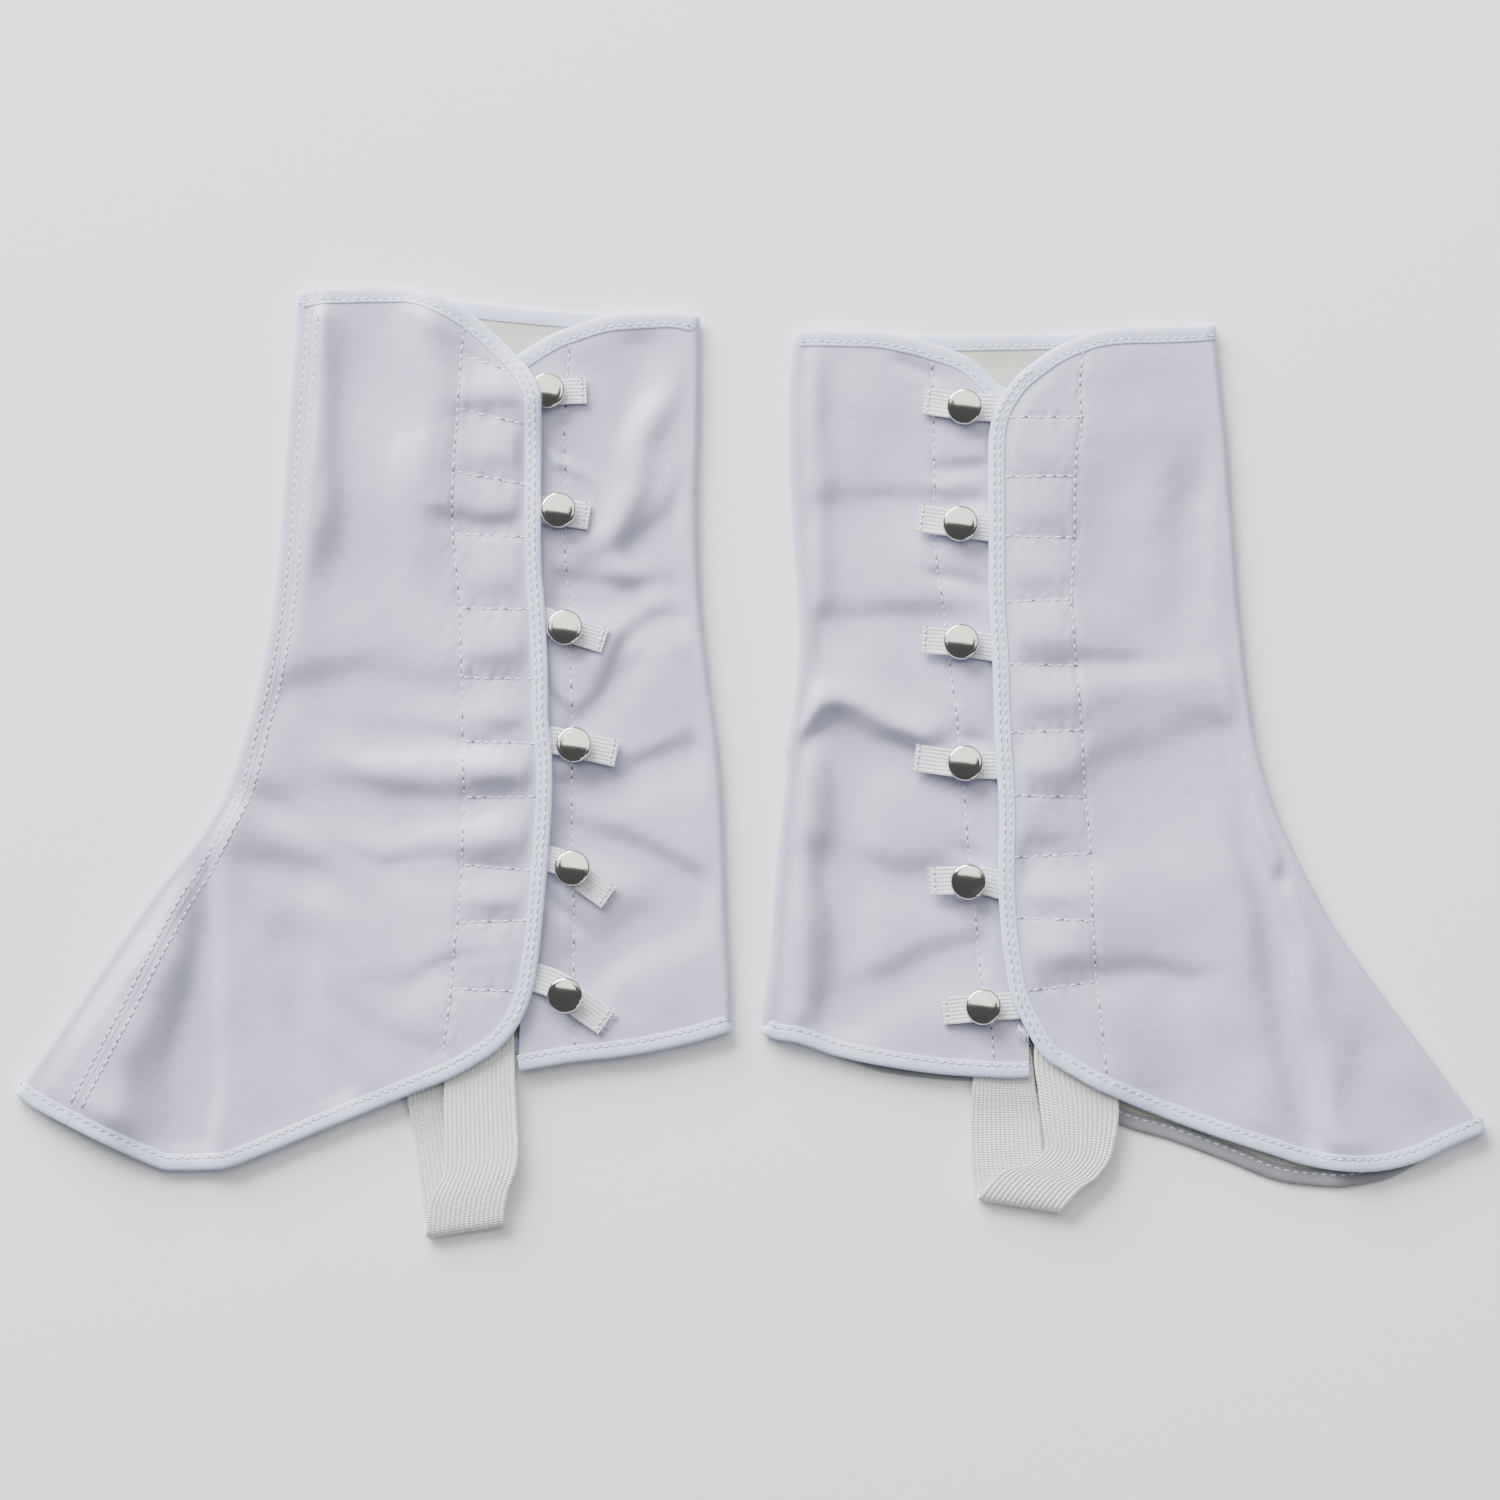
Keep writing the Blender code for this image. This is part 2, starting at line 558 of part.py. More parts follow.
def cloth_sheet(collection, name, grid, wall, finish):
    """Wall of even thickness round an open grid of points, given in millimetres."""
    rows, columns = grid.shape[:2]
    points = (grid + np.array((SHIFT_X, SHIFT_Y, 0.0))) * MM
    index = np.arange(rows * columns).reshape(rows, columns)
    faces = np.stack([index[:-1, :-1], index[1:, :-1], index[1:, 1:], index[:-1, 1:]], axis=-1)
    mesh = bpy.data.meshes.new(name)
    mesh.from_pydata(points.reshape(-1, 3).tolist(), [], faces.reshape(-1, 4).tolist())
    piece = new_object(collection, name, mesh, finish)
    solidify = piece.modifiers.new("wall", "SOLIDIFY")
    solidify.thickness = wall * MM
    solidify.offset = 0.0
    solidify.use_even_offset = True
    return piece


def ribbon_grid(left, right, heights, columns=3):
    """Grid across a ribbon between its two edge lines."""
    share = np.linspace(0.0, 1.0, columns + 1)[None, :, None]
    plan = left[:, None, :] * (1 - share) + right[:, None, :] * share
    z = np.repeat(heights[:, None], columns + 1, axis=1)
    return np.dstack([plan, z])


def add_button(collection, name, x, y, lean, z):
    """Domed button turned round its own axis, with a rolled rim and a short neck."""
    radius = BUTTON_RADIUS
    top = BUTTON_HEIGHT
    profile = [(0.0, top), (radius * 0.45, top * 0.95), (radius * 0.8, top * 0.74),
               (radius * 0.97, top * 0.48), (radius, top * 0.36), (radius * 0.9, top * 0.26),
               (radius * 0.5, top * 0.24), (radius * 0.45, 0.0), (0.0, 0.0)]
    mesh = bpy.data.meshes.new(name)
    points = [(across * MM, 0.0, up * MM) for across, up in profile]
    mesh.from_pydata(points, [(k, k + 1) for k in range(len(points) - 1)], [])
    piece = new_object(collection, name, mesh, NICKEL)
    screw = piece.modifiers.new("turn", "SCREW")
    screw.steps = BUTTON_STEPS
    screw.render_steps = BUTTON_STEPS
    screw.use_merge_vertices = True
    screw.merge_threshold = 0.0001
    piece.location = ((x + SHIFT_X) * MM, (y + SHIFT_Y) * MM, z * MM)
    piece.rotation_euler = (0.0, math.radians(lean), 0.0)
    return piece


def add_tabs_and_buttons(collection, side, tabs, buttons, surface):
    """Elastic tabs on the heel quarter's own heights, and a button on each."""
    for number, ((width, knots), button) in enumerate(zip(tabs, buttons), start=1):
        path = smooth_path(knots, samples=TAB_SAMPLES)
        above = path[TAB_SAMPLES // 2] + np.array((0.0, width))
        normal = inward_normals(path, above)
        left = path + normal * width / 2
        right = path - normal * width / 2
        grid = ribbon_grid(left, right, np.zeros(len(path)), columns=2)
        grid[..., 2] = surface(grid[..., :2]).max() + TAB_LIFT
        cloth_sheet(collection, f"{side}_tab_{number}", grid, ELASTIC_WALL, ELASTIC)
        x, y, lean, _ = button
        rise = abs(math.sin(math.radians(lean))) * BUTTON_RADIUS * 0.45
        z = grid[..., 2].max() + ELASTIC_WALL / 2 + SEAM_GAP + rise
        add_button(collection, f"{side}_button_{number}", x, y, lean, z)


def add_tape(collection, name, outer, inner):
    """Folded tape between its outer and its inner edge line."""
    middle = (outer + inner) / 2
    grid = np.stack([outer, middle, inner], axis=0)
    cloth_sheet(collection, name, grid, TAPE_WALL, TAPE)


def add_spat(collection, side, outline, front_folds, rear_folds, flap_rows, flap_middle,
             tabs, buttons, strap, seam_on_top):
    """All pieces of one spat.

    The front seam lies just past the front fold: on the upper side of one spat, and on the
    underside of the other, because both are cut from the same mirrored pattern.
    """
    front = front_quarter(outline)
    rear = rear_quarter(outline)
    widths = seam_widths(FRONT_SEAM)
    lengths = front.row_lengths(np.linspace(0.0, 1.0, ROWS + 1))
    front_z = front_height(front, front_folds, flap_rows, flap_middle, buttons)
    rear_z = rear_height(rear, rear_folds, np.asarray(outline["flap"])[6, 0], buttons)

    # Front quarter: its cloth, and the outline that its tape follows
    start = (widths + SEAM_GAP) / lengths if seam_on_top else np.zeros(ROWS + 1)
    share = np.linspace(0.0, 1.0, FRONT_COLUMNS + 1)[None, :]
    upper = upper_columns(front, start[:, None] + (1 - start[:, None]) * share, front_z,
                          TAPE_PROUD)
    front_rows = upper
    if not seam_on_top:
        fold = fold_columns(front, TAPE_PROUD)
        strip = lower_columns(front, strip_shares(front, widths, 2), LOWER_TAPE)
        front_rows = np.concatenate([strip[:, ::-1], fold[:, ::-1], upper], axis=1)
    cloth_sheet(collection, f"{side}_front_panel", front_rows[2:-2], WALL, VINYL)
    edge_v = np.linspace(0.0, 1.0, ROWS + 1)
    flap_inner = np.column_stack([front.far, np.zeros(len(front.far))])
    flap_inner = at_share(flap_inner, edge_v)
    flap_inner[:, 2] = upper[2:-2, -1, 2] + TAPE_PROUD
    flap_outer = flap_inner.copy()
    flap_outer[:, :2] = at_share(front.far_outline, edge_v)
    flap_inner[:, :2] = flap_outer[:, :2] + (flap_inner[:, :2] - flap_outer[:, :2]) * (
        TAPE_WIDTH / TAPE_SETBACK)
    outer = np.vstack([front_rows[0], flap_outer[1:-1], front_rows[-1][::-1]])
    inner = np.vstack([front_rows[1], flap_inner[1:-1], front_rows[-2][::-1]])
    add_tape(collection, f"{side}_front_binding", outer, inner)

    # Heel quarter, round the heel fold to the back seam
    rear_share = np.linspace(0.0, 1.0, REAR_COLUMNS + 1)[None, :] * np.ones((ROWS + 1, 1))
    back_widths = np.full(ROWS + 1, BACK_SEAM_INSET)
    rear_rows = np.concatenate([
        lower_columns(rear, strip_shares(rear, back_widths, 2), LOWER_TAPE)[:, ::-1],
        fold_columns(rear, TAPE_PROUD)[:, ::-1],
        upper_columns(rear, rear_share, rear_z, TAPE_PROUD)], axis=1)
    cloth_sheet(collection, f"{side}_rear_panel", rear_rows[2:-2], WALL, VINYL)
    add_tape(collection, f"{side}_rear_top_binding", rear_rows[0], rear_rows[1])
    add_tape(collection, f"{side}_rear_hem_binding", rear_rows[-1], rear_rows[-2])

    # Inner side: on the table, and for a seam on top also round the front fold
    back_line = rear.rows(strip_shares(rear, back_widths + SEAM_GAP, 1))[:, 1]
    if seam_on_top:
        front_line = front.rows(np.zeros((ROWS + 1, 1)))[:, 0]
    else:
        front_line = front.rows(strip_shares(front, widths + SEAM_GAP, 1))[:, 1]
    under = inner_quarter(np.delete(front_line, [1, -2], axis=0),
                          np.delete(back_line, [1, -2], axis=0), outline)
    under_share = np.linspace(0.0, 1.0, INNER_COLUMNS + 1)[None, :] * np.ones((ROWS + 1, 1))
    inner_rows = lower_columns(under, under_share, LOWER_TAPE)
    if seam_on_top:
        fold = fold_columns(front, -SEAM_GAP)
        strip = upper_columns(front, strip_shares(front, widths, 2), front_z, 0.0)
        inner_rows = np.concatenate([strip[:, ::-1], fold, inner_rows], axis=1)
    cloth_sheet(collection, f"{side}_inner_panel", inner_rows[2:-2], WALL, VINYL)
    add_tape(collection, f"{side}_inner_top_binding", inner_rows[0], inner_rows[1])
    add_tape(collection, f"{side}_inner_hem_binding", inner_rows[-1], inner_rows[-2])

    def heel_surface(plan):
        flat = np.ones(plan.shape[:-1])
        return rear_z(plan, flat, flat * 0.5)

    add_tabs_and_buttons(collection, side, tabs, buttons, heel_surface)
    stations = np.asarray(strap, dtype=float)
    grid = ribbon_grid(stations[:, 0:2], stations[:, 2:4], stations[:, 4], columns=4)
    cloth_sheet(collection, f"{side}_strap", grid, ELASTIC_WALL, ELASTIC)


def main():
    """Build the pair in a collection of its own."""
    for leftover in list(bpy.data.objects):
        bpy.data.objects.remove(leftover)
    collection = bpy.data.collections.new("pair_of_spats")
    bpy.context.scene.collection.children.link(collection)
    add_spat(collection, "left", LEFT, LEFT_FRONT_FOLDS, LEFT_REAR_FOLDS, LEFT_FLAP_ROWS,
             LEFT_FLAP_MIDDLE, LEFT_TABS, LEFT_BUTTONS, LEFT_STRAP, seam_on_top=True)
    add_spat(collection, "right", RIGHT, RIGHT_FRONT_FOLDS, RIGHT_REAR_FOLDS, RIGHT_FLAP_ROWS,
             RIGHT_FLAP_MIDDLE, RIGHT_TABS, RIGHT_BUTTONS, RIGHT_STRAP, seam_on_top=False)


main()
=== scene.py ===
"""Looks of a pair of white vinyl marching spats that lie flat with their button sides up.

Every cloth piece is a thin shell on a height field over its plan, folded round the front and the
heel. Tape, elastic, buttons and thread are surfaces carried along paths that are read from those
height fields. Tables are in millimetres in the frame's axes, x to the right, y up the leg.
"""

from __future__ import annotations

import logging
import math
from dataclasses import dataclass, field
from enum import Enum
from typing import Callable, Sequence

import bpy
import numpy as np
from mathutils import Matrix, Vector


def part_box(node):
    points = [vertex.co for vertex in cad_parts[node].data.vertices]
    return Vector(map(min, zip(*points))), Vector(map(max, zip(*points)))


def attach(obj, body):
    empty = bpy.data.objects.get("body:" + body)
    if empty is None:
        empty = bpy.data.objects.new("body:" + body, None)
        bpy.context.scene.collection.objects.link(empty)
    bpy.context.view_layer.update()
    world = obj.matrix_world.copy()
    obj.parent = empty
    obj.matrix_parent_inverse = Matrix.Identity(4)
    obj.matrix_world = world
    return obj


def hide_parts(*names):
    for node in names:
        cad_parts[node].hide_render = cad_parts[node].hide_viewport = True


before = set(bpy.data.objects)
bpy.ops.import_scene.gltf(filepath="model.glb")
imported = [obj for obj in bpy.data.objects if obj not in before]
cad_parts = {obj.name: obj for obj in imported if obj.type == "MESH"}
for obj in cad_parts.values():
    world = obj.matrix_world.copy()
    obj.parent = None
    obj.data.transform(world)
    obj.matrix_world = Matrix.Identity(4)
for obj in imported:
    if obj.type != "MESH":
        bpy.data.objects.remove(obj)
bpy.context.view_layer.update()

LOG = logging.getLogger("spats")
MM = 0.001
Array = np.ndarray
Points = Sequence[Sequence[float]]

# Sizes shared with the solids, in millimetres
SHIFT = np.array((-0.23, -0.11, 0.0))
UPPER_LAYER = 4.8
FLAP_LIFT = 3.7
FLAP_FLAT = 26.0
FLAP_SLOPE = 32.0
FOLD_RADIUS = 2.25
BACK_SEAM_INSET = 25.0
SEAM_GAP = 0.14
RELIEF_GAIN = 2.3
TAB_MIDDLE = 6.66
ELASTIC_WALL = 1.1
TAB_CUT = 0.01
RIB_PITCH = 1.5
CURVE_SAMPLES = 401

# Thin visible walls
CLOTH_HALF = 0.45
TAPE_HALF = 0.95
TAPE_WIDTH = 6.0
CLOTH_SETBACK = 2.4
STITCH_PITCH = 3.4


class Side(Enum):
    """Which spat of the pair, named for the foot that wears it."""

    LEFT = "left"
    RIGHT = "right"


class Edge(Enum):
    """Bound edges of a quarter."""

    TOP = "top"
    HEM = "hem"


# Plan curves


def smooth_step(value: Array) -> Array:
    """Ease from 0 to 1 with level ends: 3t^2 - 2t^3 of the clipped value."""
    clipped = np.clip(value, 0.0, 1.0)
    return clipped * clipped * (3.0 - 2.0 * clipped)


def path_length(points: Array) -> Array:
    """Distance from the first point to each point of a path."""
    steps = np.linalg.norm(np.diff(points, axis=0), axis=1)
    return np.concatenate(([0.0], np.cumsum(steps)))


def at_lengths(points: Array, lengths: Array) -> Array:
    """Points of a path at the given distances along it, by linear interpolation."""
    along = path_length(points)
    return np.stack([np.interp(lengths, along, points[:, k])
                     for k in range(points.shape[1])], axis=-1)


def at_share(path: Array, share: Array) -> Array:
    """Points of an evenly sampled path at shares of its length from 0 to 1."""
    places = np.linspace(0.0, 1.0, len(path))
    return np.stack([np.interp(share, places, path[:, k])
                     for k in range(path.shape[1])], axis=-1)


def smooth_path(points: Points, samples: int = CURVE_SAMPLES) -> Array:
    """Even samples of a Catmull-Rom curve through given points.

    Each span is the usual cubic whose end slopes are half the chord between its neighbours.

    Args:
        points: the knots, in order.
        samples: how many even samples to return.

    Returns:
        The samples, one row each.
    """
    knots = np.asarray(points, dtype=float)
    row = np.vstack([2 * knots[0] - knots[1], knots, 2 * knots[-1] - knots[-2]])
    t = np.linspace(0.0, 1.0, 24, endpoint=False)[:, None]
    spans = [0.5 * (2 * b + (c - a) * t + (2 * a - 5 * b + 4 * c - d) * t ** 2
                    + (3 * b - a - 3 * c + d) * t ** 3)
             for a, b, c, d in zip(row[:-3], row[1:-2], row[2:-1], row[3:])]
    dense = np.vstack(spans + [knots[-1:]])
    return at_lengths(dense, np.linspace(0.0, path_length(dense)[-1], samples))


def inward_normals(path: Array, middle: Array) -> Array:
    """Unit normals of a plan path, all on the side where the middle point lies."""
    tangent = np.gradient(path, axis=0)
    tangent /= np.linalg.norm(tangent, axis=1)[:, None]
    normal = np.stack([-tangent[:, 1], tangent[:, 0]], axis=1)
    centre = len(path) // 2
    if np.dot(normal[centre], np.asarray(middle) - path[centre]) < 0:
        normal = -normal
    return normal


def span_gap(plan: Array, starts: Array, ends: Array) -> Array:
    """Distance from plan points to the nearest of some straight spans."""
    nearest = np.full(plan.shape[:-1], np.inf)
    for start, step in zip(starts, ends - starts):
        away = plan - start
        share = np.clip((away @ step) / (step @ step), 0.0, 1.0)
        gap = away - share[..., None] * step
        nearest = np.minimum(nearest, (gap * gap).sum(axis=-1))
    return np.sqrt(nearest)


def path_gap(plan: Array, path: Array, spans: int = 90) -> Array:
    """Distance from plan points to a path, cut into straight spans of even length."""
    knots = at_lengths(path, np.linspace(0.0, path_length(path)[-1], spans + 1))
    return span_gap(plan, knots[:-1], knots[1:])


def wave_noise(plan: Array, wavelength: float, seed: int) -> Array:
    """Soft unevenness of about -1 to 1: a sum of sine waves in seeded directions.

    Args:
        plan: plan points in millimetres.
        wavelength: mean distance between crests.
        seed: fixes the directions and phases.

    Returns:
        One value for each point.
    """
    rng = np.random.default_rng(seed)
    total = np.zeros(plan.shape[:-1])
    count = 12
    for angle, phase, scale in zip(rng.uniform(0, math.pi, count),
                                   rng.uniform(0, 2 * math.pi, count),
                                   rng.uniform(0.7, 1.7, count)):
        k = 2 * math.pi / (wavelength * scale)
        total += np.sin(k * (plan[..., 0] * math.cos(angle) + plan[..., 1] * math.sin(angle))
                        + phase)
    return total / math.sqrt(count)


def soft_floor(relief: Array, depth: float) -> Array:
    """Relief whose troughs level out: below zero it is -depth * tanh(-relief / depth)."""
    return np.where(relief < 0, depth * np.tanh(relief / depth), relief)


# Meshes from arrays


def face_area_vectors(points: Array, faces: Array) -> Array:
    """Area vectors of polygons with the same number of corners, by a fan of triangles."""
    corner = points[faces[:, 0]]
    total = np.zeros((len(faces), 3))
    for k in range(1, faces.shape[1] - 1):
        total += np.cross(points[faces[:, k]] - corner, points[faces[:, k + 1]] - corner) / 2
    return total


def new_mesh_object(name: str, points: Array, face_sets: Sequence[Array],
                    materials: Sequence[bpy.types.Material],
                    slots: Sequence[int] | None = None, uv: Array | None = None,
                    sharp_degrees: float = 50.0) -> bpy.types.Object:
    """Object of a closed mesh with its faces turned outwards.

    The signed volume, a third of the sum of face centre times area vector, tells which way the
    faces point.

    Args:
        name: the piece's name.
        points: corners in millimetres.
        face_sets: arrays of faces, each with one number of corners.
        materials: materials in slot order.
        slots: material slot of each face set.
        uv: millimetre coordinates of each corner along and across the piece.
        sharp_degrees: edges that turn more than this are shaded sharp.

    Returns:
        The new object, at the origin.
    """
    volume = 0.0
    for faces in face_sets:
        centre = points[faces].mean(axis=1)
        volume += (centre * face_area_vectors(points, faces)).sum() / 3
    turned = [faces if volume > 0 else faces[:, ::-1] for faces in face_sets]
    mesh = bpy.data.meshes.new(name)
    polygons = [face for faces in turned for face in faces.tolist()]
    mesh.from_pydata(((points + SHIFT) * MM).tolist(), [], polygons)
    for material in materials:
        mesh.materials.append(material)
    if slots is not None:
        index = np.concatenate([np.full(len(f), s) for f, s in zip(turned, slots)])
        mesh.polygons.foreach_set("material_index", index.astype(np.int32))
    if uv is not None:
        layer = mesh.uv_layers.new(name="along_across")
        corners = np.empty(len(mesh.loops), dtype=np.int32)
        mesh.loops.foreach_get("vertex_index", corners)
        layer.data.foreach_set("uv", (uv[corners] * MM).astype(np.float32).ravel())
    mesh.shade_smooth()
    mesh.set_sharp_from_angle(angle=math.radians(sharp_degrees))
    piece = bpy.data.objects.new(name, mesh)
    bpy.context.scene.collection.objects.link(piece)
    return piece


def grid_normals(grid: Array) -> Array:
    """Unit normals of a grid of points: the cross product of its two gradients."""
    normal = np.cross(np.gradient(grid, axis=0), np.gradient(grid, axis=1))
    return normal / np.linalg.norm(normal, axis=-1, keepdims=True)


def shell(name: str, grid: Array, half: float, materials: Sequence[bpy.types.Material],
          outer_is_up: bool = True, uv: Array | None = None,
          half_map: Array | None = None) -> bpy.types.Object:
    """Closed thin wall round a grid: the grid moved out and in along its normals.

    Args:
        name: the piece's name.
        grid: middle surface, rows by columns by 3.
        half: half the wall.
        materials: outer finish, then the inner side's finish where it differs.
        outer_is_up: the outer side is the one that faces up in the last column.
        uv: millimetre coordinates of the grid's points.
        half_map: half the wall at each point, where it varies.

    Returns:
        The new object.
    """
    rows, columns = grid.shape[:2]
    normal = grid_normals(grid)
    facing = np.sign(normal[:, -1, 2].mean())
    normal *= facing if outer_is_up else -facing
    offset = normal * (half if half_map is None else half_map[..., None])
    points = np.concatenate([(grid + offset).reshape(-1, 3), (grid - offset).reshape(-1, 3)])
    index = np.arange(rows * columns).reshape(rows, columns)
    outer = np.stack([index[:-1, :-1], index[1:, :-1], index[1:, 1:], index[:-1, 1:]],
                     axis=-1).reshape(-1, 4)
    if (face_area_vectors(points, outer[:1]) * normal[0, 0]).sum() < 0:
        outer = outer[:, ::-1]
        loop_turn = -1
    else:
        loop_turn = 1
    inner = outer[:, ::-1] + rows * columns
    loop = np.concatenate([index[0, :-1], index[:-1, -1], index[-1, :0:-1], index[:0:-1, 0]])
    following = np.roll(loop, -1)
    rim = np.stack([loop, following, following + rows * columns, loop + rows * columns],
                   axis=-1)
    rim = rim[:, ::loop_turn]
    slots = (0, 0, len(materials) - 1)
    both = None if uv is None else np.concatenate([uv.reshape(-1, 2)] * 2)
    return new_mesh_object(name, points, (outer, rim, inner), materials, slots, both)


def swept_section(name: str, rails: Array, profile: Points,
                  material: bpy.types.Material) -> bpy.types.Object:
    """Closed section carried along rails that lie on a surface.

    A section point (a, b) is the surface point a millimetres in from the edge, moved out b along
    the surface's normal.

    Args:
        name: the piece's name.
        rails: surface points, rows at even steps in from the edge by stations by 3.
        profile: closed section as (distance in, height) pairs.
        material: its finish.

    Returns:
        The new object.
    """
    normal = rail_normals(rails)
    section = np.asarray(profile, dtype=float)
    step = TAPE_WIDTH / (len(rails) - 1)
    place = np.clip(section[:, 0] / step, 0, len(rails) - 1)
    low = np.minimum(place.astype(int), len(rails) - 2)
    part = (place - low)[:, None, None]
    surface = rails[low] * (1 - part) + rails[low + 1] * part
    facing = normal[low] * (1 - part) + normal[low + 1] * part
    grid = surface + facing * section[:, 1][:, None, None]
    count, stations = grid.shape[:2]
    index = np.arange(count * stations).reshape(count, stations)
    around = np.concatenate([index, index[:1]])
    sides = np.stack([around[:-1, :-1], around[1:, :-1], around[1:, 1:], around[:-1, 1:]],
                     axis=-1).reshape(-1, 4)
    caps = np.stack([index[:, 0], index[::-1, -1]])
    along = path_length(rails[0])
    uv = np.stack(np.broadcast_arrays(along[None, :], np.cumsum(np.full(count, 0.7))[:, None]),
                  axis=-1)
    return new_mesh_object(name, grid.reshape(-1, 3), (sides, caps), [material],
                           uv=uv.reshape(-1, 2))


def rail_normals(rails: Array) -> Array:
    """Unit normals on rails, up on the upper side: the steps along crossed with those across."""
    normal = grid_normals(rails)
    highest = np.unravel_index(np.argmax(rails[..., 2]), rails.shape[:2])
    return normal if normal[highest][2] > 0 else -normal


# Finishes


def linear(hex_colour: str) -> tuple[float, float, float, float]:
    """Linear RGBA of an sRGB hex colour."""
    parts = [int(hex_colour[k:k + 2], 16) / 255 for k in (1, 3, 5)]
    red, green, blue = (p / 12.92 if p <= 0.04045 else ((p + 0.055) / 1.055) ** 2.4
                        for p in parts)
    return red, green, blue, 1.0


def add_node(tree: bpy.types.NodeTree, kind: str, settings: dict[str, object] | None = None,
             **links: object) -> bpy.types.Node:
    """Add a node with its settings and its links.

    Args:
        tree: the material's tree.
        kind: the node's type name.
        settings: attributes by name, or inputs by name where no attribute has it.
        links: sockets to link into inputs, with underscores for spaces in their names.

    Returns:
        The node.
    """
    node = tree.nodes.new(kind)
    for key, value in (settings or {}).items():
        if hasattr(node, key):
            setattr(node, key, value)
        else:
            node.inputs[key].default_value = value
    for key, socket in links.items():
        tree.links.new(socket, node.inputs[key.replace("_", " ")])
    return node


def new_material(name: str) -> tuple[bpy.types.Material, bpy.types.NodeTree,
                                     bpy.types.Node]:
    """Material with its node tree and its Principled shader."""
    material = bpy.data.materials.new(name)
    material.use_nodes = True
    tree = material.node_tree
    return material, tree, tree.nodes["Principled BSDF"]


def wave_scale(period: float) -> float:
    """Scale of a wave texture whose bands are a period in millimetres apart.

    The texture takes the sine of 20 times the scaled coordinate.
    """
    return 2 * math.pi / (20 * period * MM)


def ramp(tree: bpy.types.NodeTree, socket: bpy.types.NodeSocket, stops: Points
         ) -> bpy.types.Node:
    """Colour ramp over grey values.

    Args:
        tree: the material's tree.
        socket: the factor.
        stops: (place, grey) pairs.

    Returns:
        The ramp node.
    """
    node = add_node(tree, "ShaderNodeValToRGB", None, Fac=socket)
    elements = node.color_ramp.elements
    while len(elements) < len(stops):
        elements.new(0.5)
    for element, (place, grey) in zip(elements, stops):
        element.position = place
        element.color = (grey, grey, grey, 1.0)
    return node


@dataclass(frozen=True)
class VinylFinish:
    """Calendered vinyl on cloth: a smooth cool white skin with a soft sheen and faint grain."""

    colour: str = "#C3C2D9"
    shaded: str = "#BAB9D0"
    grain_mm: float = 0.7
    mottle_mm: float = 26.0
    roughness: float = 0.36

    def make(self) -> bpy.types.Material:
        """The vinyl: even colour with a faint mottle, fine moulded grain in the bump."""
        material, tree, shader = new_material("calendered_white_vinyl")
        place = add_node(tree, "ShaderNodeTexCoord").outputs["Object"]
        mottle = add_node(tree, "ShaderNodeTexNoise",
                          {"Scale": 1000 / self.mottle_mm, "Detail": 3.0}, Vector=place)
        colour = add_node(tree, "ShaderNodeMix", {"data_type": "RGBA"},
                          Factor=ramp(tree, mottle.outputs["Fac"],
                                      ((0.35, 0.0), (0.7, 1.0))).outputs["Color"])
        colour.inputs[6].default_value = linear(self.colour)
        colour.inputs[7].default_value = linear(self.shaded)
        tree.links.new(colour.outputs[2], shader.inputs["Base Color"])
        grain = add_node(tree, "ShaderNodeTexNoise",
                         {"Scale": 1000 / self.grain_mm, "Detail": 2.0}, Vector=place)
        soft = add_node(tree, "ShaderNodeTexNoise",
                        {"Scale": 1000 / 6.0, "Detail": 2.0}, Vector=place)
        fine = add_node(tree, "ShaderNodeBump", {"Strength": 0.10, "Distance": 0.0002},
                        Height=grain.outputs["Fac"])
        bump = add_node(tree, "ShaderNodeBump", {"Strength": 0.35, "Distance": 0.0006},
                        Height=soft.outputs["Fac"], Normal=fine.outputs["Normal"])
        tree.links.new(bump.outputs["Normal"], shader.inputs["Normal"])
        rough = add_node(tree, "ShaderNodeMapRange",
                         {"To Min": self.roughness - 0.05, "To Max": self.roughness + 0.08},
                         Value=soft.outputs["Fac"])
        tree.links.new(rough.outputs["Result"], shader.inputs["Roughness"])
        shader.inputs["IOR"].default_value = 1.5
        shader.inputs["Specular IOR Level"].default_value = 0.45
        return material


@dataclass(frozen=True)
class TapeFinish:
    """Folded binding tape in a slightly bluer white, with the fine grain of its coating."""

    name: str = "folded_binding_tape"
    colour: str = "#DADEFA"
    mottle_colour: str = "#D0D4F0"
    grain_mm: float = 1.1

    def make(self) -> bpy.types.Material:
        """The tape: bluish white with faint cloudiness and a small cross grain."""
        material, tree, shader = new_material(self.name)
        place = add_node(tree, "ShaderNodeTexCoord").outputs["Object"]
        cloud = add_node(tree, "ShaderNodeTexNoise", {"Scale": 110.0, "Detail": 4.0},
                         Vector=place)
        colour = add_node(tree, "ShaderNodeMix", {"data_type": "RGBA"},
                          Factor=ramp(tree, cloud.outputs["Fac"],
                                      ((0.4, 0.0), (0.72, 1.0))).outputs["Color"])
        colour.inputs[6].default_value = linear(self.colour)
        colour.inputs[7].default_value = linear(self.mottle_colour)
        tree.links.new(colour.outputs[2], shader.inputs["Base Color"])
        grain = add_node(tree, "ShaderNodeTexNoise",
                         {"Scale": 1000 / self.grain_mm, "Detail": 3.0}, Vector=place)
        bump = add_node(tree, "ShaderNodeBump", {"Strength": 0.35, "Distance": 0.0003},
                        Height=grain.outputs["Fac"])
        tree.links.new(bump.outputs["Normal"], shader.inputs["Normal"])
        shader.inputs["Roughness"].default_value = 0.5
        return material


